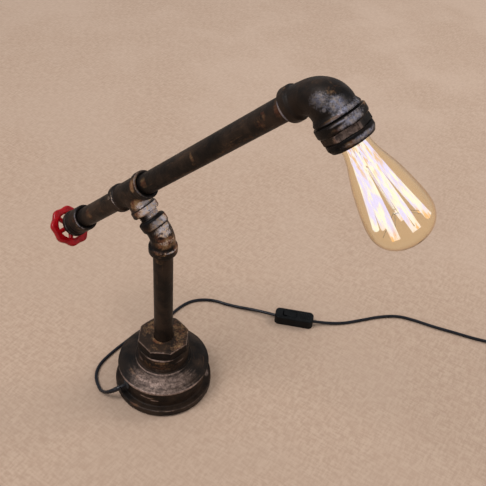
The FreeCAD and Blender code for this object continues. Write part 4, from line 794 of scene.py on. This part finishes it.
# Shine patches paint highlights, over rubbed wear, on the head's castings; soot paints shade in its grooves
# and on the sides away from the lamps.
HEAD_PAINTS = [
    (HEAD, [
        (WEAR_AND_HIGHLIGHT, 15.9, -101, 3.6, 8, 6, 1.15), (WEAR_AND_HIGHLIGHT, 16.9, -109, 7, 8, 5.5, 1.1),
        (WEAR_AND_HIGHLIGHT, 17.8, -115, 11, 7, 5, 1), (WEAR_AND_HIGHLIGHT, 18.3, -106, 12.8, 1.6, 1.6, 2),
        (WEAR_AND_HIGHLIGHT, 18, -133, 11.5, 10, 5.5, 1.1), (WEAR_AND_HIGHLIGHT, 18.6, -146, 15.5, 12, 7, 1.15),
        (WEAR_AND_HIGHLIGHT, 19.8, -148, 19.8, 14, 3.4, 1.1), (WEAR_AND_HIGHLIGHT, 19.5, 176, 19.8, 7, 4, 0.8),
        (RUSTY, 20.3, -114, 21.4, 10, 1.4, 1.6), (RUSTY, 18.5, -122, 15, 8, 3, 0.7),
        (RUSTY, 17.4, -146, 5, 12, 5, 0.9), (RUSTY, 21.1, 158, 24.6, 6, 2.6, 1.5),
        (WEAR_AND_HIGHLIGHT, 20.3, -104, 22.6, 9, 0.8, 1.6), (WEAR_AND_HIGHLIGHT, 22.3, -122, 26, 10, 0.8, 1.6),
        (WEAR_AND_HIGHLIGHT, 22.3, -159, 28.2, 10, 3.6, 1.1), (WEAR_AND_HIGHLIGHT, 22.3, -144, 28.8, 10, 3.6, 1.2),
        (WEAR_AND_HIGHLIGHT, 22.3, -131, 29.6, 9, 2.4, 1), (RUSTY, 22.3, -110, 29.4, 10, 2.6, 1.1),
        (PAINTED_SHADE, 22.3, -115, 27.4, 5, 1.2, 0.8), (PAINTED_SHADE, 22.3, -72, 24, 14, 14, 0.8),
        (PAINTED_SHADE, 18.4, -176, 13, 6, 6, 0.8), (PAINTED_SHADE, 17, -60, 10, 16, 20, 0.6),
    ], [(PAINTED_SHADE, 0, 21.6, 22.9, 24.7, 0.9)]),
    (ARM, [(WEAR_AND_HIGHLIGHT, 15, -88, 231.6, 9, 1.3, 1.4), (PAINTED_SHADE, 15, -100, 240, 12, 5, 0.4)], []),
]
HEXAGON_PAINTS = [
    (HEAD, [
        (WEAR_AND_HIGHLIGHT, 19.4, -124, 36, 14, 6, 0.95), (WEAR_AND_HIGHLIGHT, 21.2, -157, 36, 1.2, 4, 2),
        (WEAR_AND_HIGHLIGHT, 20.5, -90, 35, 6, 4, 0.5), (PAINTED_SHADE, 20.5, -178, 35.5, 7, 5, 0.8),
        (RUSTY, 20.5, -100, 36, 8, 3, 0.8),
    ], [(PAINTED_SHADE, 0, 30, 31, 33, 0.8), (PAINTED_SHADE, 0, 30, 38.6, 40, 0.6)]),
]
RING_PAINTS = [
    (HEAD, [
        (RUSTY, 20.4, -119, 43.8, 6, 2.6, 1.7), (WEAR_AND_HIGHLIGHT, 20.4, -133, 44, 7, 2, 0.9),
        (WEAR_AND_HIGHLIGHT, 20.4, -158, 44, 14, 2.8, 1.1), (WEAR_AND_HIGHLIGHT, 20.4, 178, 43.5, 8, 2.6, 0.9),
        (WEAR_AND_HIGHLIGHT, 20.4, -104, 43.6, 7, 1.2, 0.9), (PAINTED_SHADE, 20.6, -80, 43, 10, 4, 1),
    ], [(PAINTED_SHADE, 0, 30, 39, 41.6, 0.8)]),
]
# Soot on the pipes paints shade on their far sides and beside the fittings.
RISER_PATCHES = [
    (RUSTY, PIPE_R, -80, 204, 7, 6, 1.1), (RUSTY, PIPE_R, -73, 117, 30, 3, 0.8),
    (RUSTY, PIPE_R, -50, 150, 12, 26, 0.5), (RUSTY, PIPE_R, -60, 96, 40, 16, 0.7),
    (PAINTED_SHADE, PIPE_R, -140, 140, 7, 99, 0.4),
]
ARM_PATCHES = [
    (RUSTY, PIPE_R, -110, 34, 6, 6, 1.5), (PAINTED_SHADE, PIPE_R, 0, 26, 99, 4, 0.8),
    (RUSTY, PIPE_R, -104, 113, 5, 2.2, 1.5), (RUSTY, PIPE_R, -70, 111, 5, 4, 1),
    (RUSTY, PIPE_R, -114, 210, 5, 3.4, 1.4), (RUSTY, PIPE_R, -90, 203, 7, 7, 1.1),
    (RUSTY, PIPE_R, -100, 226, 10, 4, 1.5), (RUSTY, PIPE_R, -54, 172, 3, 60, 1),
    (RUSTY, PIPE_R, -80, 160, 5, 9, 0.9), (PAINTED_SHADE, PIPE_R, -110, 138, 8, 18, 0.5),
]
REAR_PATCHES = [
    (RUSTY, PIPE_R, -100, -74, 7, 7, 1.3), (RUSTY, PIPE_R, -80, -50, 9, 5, 0.9),
    (PAINTED_SHADE, PIPE_R, 0, -94, 99, 7, 0.6),
]


# ---- rear end
MOUTH_R = 11.5
COUPLING_BORE_R = 10.7
GLAND_R = 15.0
GLAND_BODY_R = 13.9
GLAND_NECK_R = 12.8
GLAND_BORE_R = 4.05
GLAND_END = COUPLING_END + 5.5
# Shine paints highlights on the coupling's lip and the gland's flange edge; soot paints shade in the mouth
# and round the gland.
COUPLING_PATCHES = [
    (RUSTY, COUPLING_R, -92, REAR_MOUTH - 4.5, 20, 4, 0.9),
    (RUSTY, 13.9, -110, REAR_MOUTH, 26, 1.2, 0.9), (WEAR_AND_HIGHLIGHT, 13.9, -118, REAR_MOUTH, 24, 1.1, 0.8),
    (PAINTED_SHADE, COUPLING_R, 175, REAR_MOUTH - 6, 14, 12, 0.7),
]
COUPLING_RINGS = [(PAINTED_SHADE, 0, LIP_R, REAR_MOUTH - 1, REAR_MOUTH + 1, 0.95)]
GLAND_PATCHES = [(WEAR_AND_HIGHLIGHT, 14.7, -100, PLUG_FLANGE_START, 20, 1.1, 0.4)]
GLAND_RINGS = [(PAINTED_SHADE, 0, 14.2, -119, -112, 0.5), (PAINTED_SHADE, 0, 16, -125, -121, 0.7)]


def make_turned_iron(name, node, corners, waves, patches, rings):
    """A turned casting on the arm."""
    mesh = spun(rounded(corners, 0.5))
    roughen(mesh, waves)
    mark_relief(mesh, 12, 0.4)
    paint(mesh, patches=patches, rings=rings)
    add_piece(name, mesh, "arm", "dark_iron", ARM, [node])


def make_rear_end():
    make_turned_iron("end_coupling", "rear_coupling", [
        (MOUTH_R, COUPLING_END), (COUPLING_R - 0.6, COUPLING_END, 1.0),
        (COUPLING_R, COUPLING_END + 3.0, 2.0), (COUPLING_R, REAR_MOUTH, 0.9),
        (MOUTH_R, REAR_MOUTH), (COUPLING_BORE_R, REAR_MOUTH - 0.8),
        (COUPLING_BORE_R, COUPLING_END + 0.8),
    ], [(9, 0.10), (3, 0.05)], COUPLING_PATCHES, COUPLING_RINGS)
    make_turned_iron("gland", "rear_plug", [
        (GLAND_BORE_R, PLUG_FACE), (GLAND_R, PLUG_FACE, 1.4), (GLAND_R, PLUG_FLANGE_START, 0.8),
        (GLAND_BODY_R, PLUG_FLANGE_START, 0.4), (GLAND_BODY_R, PLUG_BODY_START, 0.8),
        (GLAND_NECK_R, PLUG_BODY_START), (GLAND_NECK_R, COUPLING_END), (PIPE_R, COUPLING_END),
        (PIPE_R, GLAND_END, 0.8), (GLAND_BORE_R, GLAND_END),
    ], [(9, 0.08), (3, 0.04)], GLAND_PATCHES, GLAND_RINGS)


# ---- bulb
CURVE_PIECES = 12


def bulb_curve(inset):
    """The bulb's outline, moved inwards by inset: (radius, height) points of a neck and a smooth curve."""
    knots = [Vector((radius - inset, height)) for height, radius in BULB_OUTLINE]
    knots[-1] += Vector((inset / 2, -inset))
    tip = Vector((0.0, BULB_TIP - inset))
    beyond = Vector((-knots[-1].x, knots[-1].y))
    before = Vector((knots[0].x, 2 * knots[0].y - knots[1].y))
    chain = [before] + knots + [tip, beyond]
    points = []
    for p0, p1, p2, p3 in zip(chain, chain[1:], chain[2:], chain[3:]):
        for piece in range(CURVE_PIECES):
            t = piece / CURVE_PIECES
            points.append(0.5 * (2 * p1 + (p2 - p0) * t + (2 * p0 - 5 * p1 + 4 * p2 - p3) * t ** 2
                                 + (3 * p1 - p0 - 3 * p2 + p3) * t ** 3))
    neck = [Vector((GLASS_FOOT_R - inset, height)) for height in (GLASS_FOOT, GLASS_NECK)]
    return neck + points + [tip]


def make_bulb_glass():
    profile = bulb_curve(0.0) + bulb_curve(GLASS_WALL)[::-1]
    piece = add_piece("glass_envelope", spun(profile, 192), "bulb", "amber_glass", HEAD, ["bulb_glass"])
    piece.visible_shadow = False


# a strand is drawn as thick as it glows
STRAND_R_LOW = 1.4
STRAND_R_HIGH = 2.3
STRAND_SAG = 0.9
STRAND_BENDS = ((0.0, 0.0), (0.25, 0.7), (0.5, 1.0), (0.75, 0.7), (1.0, 0.0))
LOW_HOOK_HALF = 1.2
LOW_HOOK_SINK = 4.5
# how far each high hook stands up, and its half widths before and after its middle
HIGH_HOOKS = [
    (-3.0, 1.8, 1.8), (0.0, 1.8, 4.0), (0.0, 1.8, 1.8), (0.0, 1.8, 1.8), (0.0, 1.6, 2.8), (0.0, 1.9, 1.6),
    (-10.0, 1.8, 1.8),
]


def hook_ends(index):
    """The two strand ends at one hook, a little apart round the bulb's axis."""
    angle = 2 * math.pi * index / STRANDS + math.radians(FAN_TURN)
    outward = Vector((math.cos(angle), math.sin(angle), 0))
    sideways = Vector((-outward.y, outward.x, 0))
    if index % 2 == 0:
        rise, before, after = HIGH_HOOKS[index // 2]
        spot = outward * FAN_HIGH_R + Vector((0, 0, FAN_HIGH + rise))
        return spot - sideways * before, spot + sideways * after
    spot = outward * FAN_LOW_R + Vector((0, 0, FAN_LOW - LOW_HOOK_SINK))
    return spot - sideways * LOW_HOOK_HALF, spot + sideways * LOW_HOOK_HALF


def make_filament():
    """A cage of lit strands that fan out from hook to hook, as one tube."""
    spots, radii = [], []
    for index in range(STRANDS):
        start, end = hook_ends(index)[1], hook_ends((index + 1) % STRANDS)[0]
        middle = start.lerp(end, 0.5)
        bow = Vector((middle.x, middle.y, 0)).normalized() * -STRAND_SAG
        for along, bent in STRAND_BENDS:
            height = along if index % 2 else 1 - along
            spots.append(HEAD @ (start.lerp(end, along) + bow * bent))
            radii.append(STRAND_R_LOW + (STRAND_R_HIGH - STRAND_R_LOW) * height)
    piece, spline = add_curve("filament_strands", "POLY", spots, 1.0, 3, "filament")
    spline.use_cyclic_u = True
    for point, radius in zip(spline.points, radii):
        point.radius = radius
    declare(piece, "bulb", ["bulb_filament"])


# ---- cord
EXIT_HEIGHT = 22.0
SWITCH_ENTRY = tuple(SWITCH @ Vector((-SWITCH_HALF, 0, SWITCH_SEAM)))
SWITCH_OUTLET = tuple(SWITCH @ Vector((SWITCH_HALF, 0, SWITCH_SEAM)))
LEAD_POINTS = [
    (-16.67, -41.26, EXIT_HEIGHT), (-20.04, -49.60, EXIT_HEIGHT),
    (-24.8, -56.8, 19.0), (-31.0, -61.5, 14.0), (-39.9, -63.0, 7.1), (-50.7, -59.6, ON_FLOOR),
    (-67.2, -48.2, ON_FLOOR), (-75.3, -31.4, ON_FLOOR), (-75.3, -7.9, ON_FLOOR), (-72.3, 19.5, ON_FLOOR),
    (-69.6, 45.1, ON_FLOOR), (-55.4, 73.1, ON_FLOOR), (-54.9, 101.7, ON_FLOOR), (-48.8, 125.3, ON_FLOOR),
    (-28.0, 142.6, ON_FLOOR), (-0.3, 148.5, ON_FLOOR), (32.3, 161.7, 3.2), SWITCH_ENTRY,
]
TAIL_POINTS = [
    SWITCH_OUTLET, (116.0, 195.4, 3.4), (136.4, 210.7, ON_FLOOR), (154.2, 231.4, ON_FLOOR),
    (170.7, 251.8, ON_FLOOR), (191.6, 269.8, ON_FLOOR), (216.0, 276.4, ON_FLOOR), (240.3, 280.7, ON_FLOOR),
    (266.8, 287.9, ON_FLOOR), (291.0, 293.5, ON_FLOOR), (312.0, 300.2, 2.3),
]
COIL_CENTRE = (356.0, 290.5)
COIL_RADII = (26, 22, 18, 18, 22, 26, 18, 22, 26)
COIL_LAYERS = (3.35, 7.35, 11.35)
COIL_TURNS = [(radius, COIL_LAYERS[index // 3]) for index, radius in enumerate(COIL_RADII)]
COIL_ENTRY = 128.0
COIL_EXIT = 19.0
COIL_POINTS = 16
# where in a turn the cord begins to climb or to shift, and over what share of the turn
COIL_CLIMB = (0.62, 0.19)
COIL_SHIFT = (0.70, 0.30)
PLUG_HEADING = -71.0
PLUG_CORD_HEIGHT = 6.8
PLUG_RUN_OFF = 24.0
PLUG_RUN = ((4.0, 10.4), (11.0, 8.4), (17.0, PLUG_CORD_HEIGHT), (25.0, PLUG_CORD_HEIGHT))


def coil_points():
    """The put-away turns, wound clockwise in three layers, then the run out to the plug."""
    def reached(along, start, length):
        return min(1.0, max(0.0, (along - start) / length))

    widen = 1 / (0.75 + 0.25 * math.cos(2 * math.pi / COIL_POINTS))
    turns = len(COIL_TURNS) - 1 + (COIL_ENTRY - COIL_EXIT) / 360.0
    points = []
    for index in range(int(turns * COIL_POINTS) + 1):
        turn, along = divmod(index / COIL_POINTS, 1.0)
        radius, height = COIL_TURNS[int(turn)]
        next_radius, next_height = COIL_TURNS[min(int(turn) + 1, len(COIL_TURNS) - 1)]
        radius += (next_radius - radius) * reached(along, *COIL_SHIFT)
        height += (next_height - height) * reached(along, *COIL_CLIMB)
        angle = math.radians(COIL_ENTRY - 360.0 * index / COIL_POINTS)
        points.append((COIL_CENTRE[0] + radius * widen * math.cos(angle),
                       COIL_CENTRE[1] + radius * widen * math.sin(angle), height))
    angle = math.radians(PLUG_HEADING)
    heading = Vector((math.cos(angle), math.sin(angle), 0))
    leave = Vector((*COIL_CENTRE, 0)) + Vector((-heading.y, heading.x, 0)) * PLUG_RUN_OFF
    for along, height in PLUG_RUN:
        spot = leave + heading * along
        points.append((spot.x, spot.y, height))
    return points


def make_cord(name, points, replaces):
    """A cord along its route, and the path that its spline follows."""
    cord, spline = add_curve(name, "NURBS", points, 0.0, 5, "black_pvc")
    spline.order_u = 3
    spline.use_endpoint_u = True
    curve = cord.data
    curve.resolution_u = 10
    line = bpy.data.meshes.new_from_object(cord)
    path = [vertex.co.copy() for vertex in line.vertices]
    bpy.data.meshes.remove(line)
    curve.bevel_depth = CORD_R * MM
    curve.use_fill_caps = True
    declare(cord, "base", replaces)
    return cord, path


SLEEVE_SIDES = 32
SLEEVE_GROOVE = 0.3
# length, radius at the root, radius at the tip and number of ribs
CORD_SLEEVE = (22.0, 3.3, 2.15, 6)
PLUG_SLEEVE = (20.0, 3.6, 2.15, 5)
# the point of the lead's path at which its sleeve starts
SLEEVE_START = 10


def sleeve(name, path, length, root_r, tip_r, ribs):
    """A tapered, ribbed strain relief that follows the first stretch of a path."""
    headings, travelled = [], [0.0]
    for before, after in zip(path, path[1:]):
        headings.append((after - before).normalized())
        travelled.append(travelled[-1] + (after - before).length / MM)
        if travelled[-1] > length:
            break
    turns = [2 * math.pi * side / SLEEVE_SIDES for side in range(SLEEVE_SIDES)]
    build = bmesh.new()
    rings = []
    stations = 4 * ribs
    for station in range(stations + 1):
        along = length * station / stations
        index = max(i for i, far in enumerate(travelled[:len(headings)]) if far <= along)
        heading = headings[index]
        spot = path[index] + heading * (along - travelled[index]) * MM
        side = heading.cross(Vector((0, 0, 1))).normalized()
        over = side.cross(heading)
        grooved = station % 4 == 2 and 0 < station < stations - 1
        radius = root_r + (tip_r - root_r) * station / stations - (SLEEVE_GROOVE if grooved else 0.0)
        rings.append([
            build.verts.new(spot + (side * math.cos(turn) + over * math.sin(turn)) * radius * MM)
            for turn in turns])
    mesh = skinned(build, rings, name, closed=False)
    return add_piece(name, mesh, "base", "black_pvc")


def make_cords(ribs):
    lead, path = make_cord("lead_cord", LEAD_POINTS, ["cord_lead"])
    relief = sleeve("cord_sleeve", path[SLEEVE_START:], *CORD_SLEEVE)
    tail, path = make_cord("tail_cord", TAIL_POINTS + coil_points(), ["cord_tail", "cord_coil"])
    relief = sleeve("plug_sleeve", path[::-1], *PLUG_SLEEVE)


# ---- switch
RIBS = 6
RIB_START = 8.5
RIB_PITCH = 2.3
RIB_SIZE = (1.1, 11.0, 0.9)
RIB_ROUND = 0.3


def make_switch_ribs():
    """Grip ribs across the long end of the switch's cover."""
    build = bmesh.new()
    for index in range(RIBS):
        at = SWITCH @ Vector((RIB_START + RIB_PITCH * index, 0, SWITCH_TOP))
        place = Matrix.Translation(at * MM) @ Matrix.Rotation(math.radians(SWITCH_TURN), 4, "Z")
        size = Matrix.Diagonal((*(value * MM for value in RIB_SIZE), 1.0))
        bmesh.ops.create_cube(build, size=1.0, matrix=place @ size)
    bmesh.ops.bevel(build, geom=build.edges[:], offset=RIB_ROUND * MM, segments=2, affect="EDGES")
    mesh = bpy.data.meshes.new("switch_ribs")
    build.to_mesh(mesh)
    build.free()
    return add_piece("switch_ribs", mesh, "base", "black_plastic")


# ---- stage and light
FLOOR_COLOUR = srgb(196, 168, 147)


def make_stage():
    finish = Finish("floor_cloth", Roughness=0.95, Specular_IOR_Level=0.1)
    along = finish.noise(finish.place(90.0, 4.0), 330, 3.0, 0.6)
    across = finish.noise(finish.place(90.0, 0.25), 85, 3.0, 0.6)
    weave = finish.times(finish.total(along, across), 0.5)
    stain = finish.noise(finish.place(), 30, 5.0, 0.65)
    wash = finish.noise(finish.place(), 5, 3.0)
    colour = finish.mix(finish.step(weave, 0.37, 0.63), srgb(177, 149, 128), srgb(199, 173, 151))
    colour = finish.mix(finish.step(stain, 0.42, 0.66, 0.0, 0.25), colour, srgb(184, 154, 132))
    # Painted light: the floor is painted lighter toward the back, to make up for the lamps lighting it less
    # there.
    far = finish.step(finish.add("SeparateXYZ", {0: finish.place()}).outputs[1], -0.3, 1.1)
    painted_light_far = finish.mix(far, srgb(182, 157, 137), srgb(216, 191, 171))
    finish.set("Base Color", finish.mix(finish.step(wash, 0.4, 0.62, 0.25, 0.5), colour, painted_light_far))
    bpy.ops.mesh.primitive_plane_add(size=12.0, location=(0, 0, 0))
    floor = bpy.context.object
    floor.name = "floor"
    floor.data.materials.append(finish.material)


def area_light(name, place, target, size, watts, colour, mirrored=True):
    """A round soft light. One that isn't mirrored lights things without showing in glossy ones."""
    data = bpy.data.lights.new(name, "AREA")
    data.shape = "DISK"
    data.size = size
    data.energy = watts
    data.color = colour
    light = put(name, data)
    light.visible_glossy = mirrored
    light.visible_transmission = False
    light.location = place
    light.rotation_euler = (Vector(target) - Vector(place)).to_track_quat("-Z", "Y").to_euler()


def make_lights():
    world = bpy.data.worlds.new("studio")
    bpy.context.scene.world = world
    world.use_nodes = True
    nodes, links = world.node_tree.nodes, world.node_tree.links
    background = nodes["Background"]
    background.inputs["Color"].default_value = (0.96, 0.97, 1.0, 1.0)
    background.inputs["Strength"].default_value = 0.5
    backdrop = nodes.new("ShaderNodeBackground")
    backdrop.inputs["Color"].default_value = FLOOR_COLOUR
    rays = nodes.new("ShaderNodeLightPath")
    choose = nodes.new("ShaderNodeMixShader")
    links.new(rays.outputs["Is Camera Ray"], choose.inputs[0])
    links.new(background.outputs[0], choose.inputs[1])
    links.new(backdrop.outputs[0], choose.inputs[2])
    links.new(choose.outputs[0], nodes["World Output"].inputs["Surface"])
    area_light("key", (-0.6, -1.0, 2.3), (0.0, 0.1, 0.1), 1.2, 31.0, (0.98, 0.98, 1.0))
    area_light("window", (1.3, 1.9, 2.2), (0.1, 0.4, 0.0), 1.4, 27.0, (1.0, 0.98, 0.96), False)
    bpy.context.scene.view_settings.view_transform = "Standard"


# ---- the whole lamp
def dress_cad_nodes():
    """Gives every CAD node the finish of its slot, whether or not a piece stands for it."""
    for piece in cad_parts.values():
        for slot in piece.material_slots:
            slot.material = MATERIALS[slot.material.name.split(".")[0]]


make_camera()
make_stage()
make_lights()
dress_cad_nodes()
make_cords(make_switch_ribs())
make_bell()
make_casting("octagon_bushing", "riser_bushing", "base", "dark_iron", UPRIGHT, 0.5, reach=0.2, proud=20,
             paints=[(UPRIGHT, OCTAGON_PATCHES, OCTAGON_RINGS)], material=BUSHING_IRON)
make_pipe("riser_tube", "riser_pipe", "base", UPRIGHT, UPRIGHT_PIPE, RISER_PATCHES)
make_casting("swivel_elbow", "lean_elbow", "elbow", "dark_iron", NIPPLE, 0.45, paints=ELBOW_PAINTS,
             material=WORN_IRON)
make_nipple()
make_casting("tee_casting", "tee", "arm", "dark_iron", ARM, 0.45, paints=TEE_PAINTS, material=WORN_IRON)
make_pipe("arm_tube", "arm_pipe", "arm", ARM, LEANING_PIPE, ARM_PATCHES)
make_pipe("rear_tube", "rear_pipe", "arm", ARM, LEANING_PIPE, REAR_PATCHES)
make_rear_end()
make_casting("valve_wheel", "handwheel", "wheel", "red_paint", ARM, 0.4, rough=0.3)
make_casting("reducing_elbow", "head_elbow", "head", "dark_iron", HEAD, 0.42, 2, paints=HEAD_PAINTS)
make_casting("hexagon_bushing", "head_bushing", "head", "dark_iron", HEAD, 0.4, 1, paints=HEXAGON_PAINTS,
             material=BUSHING_IRON)
make_casting("clamp_ring", "holder_ring", "head", "dark_iron", HEAD, 0.32, 1, paints=RING_PAINTS)
make_bulb_glass()
make_filament()
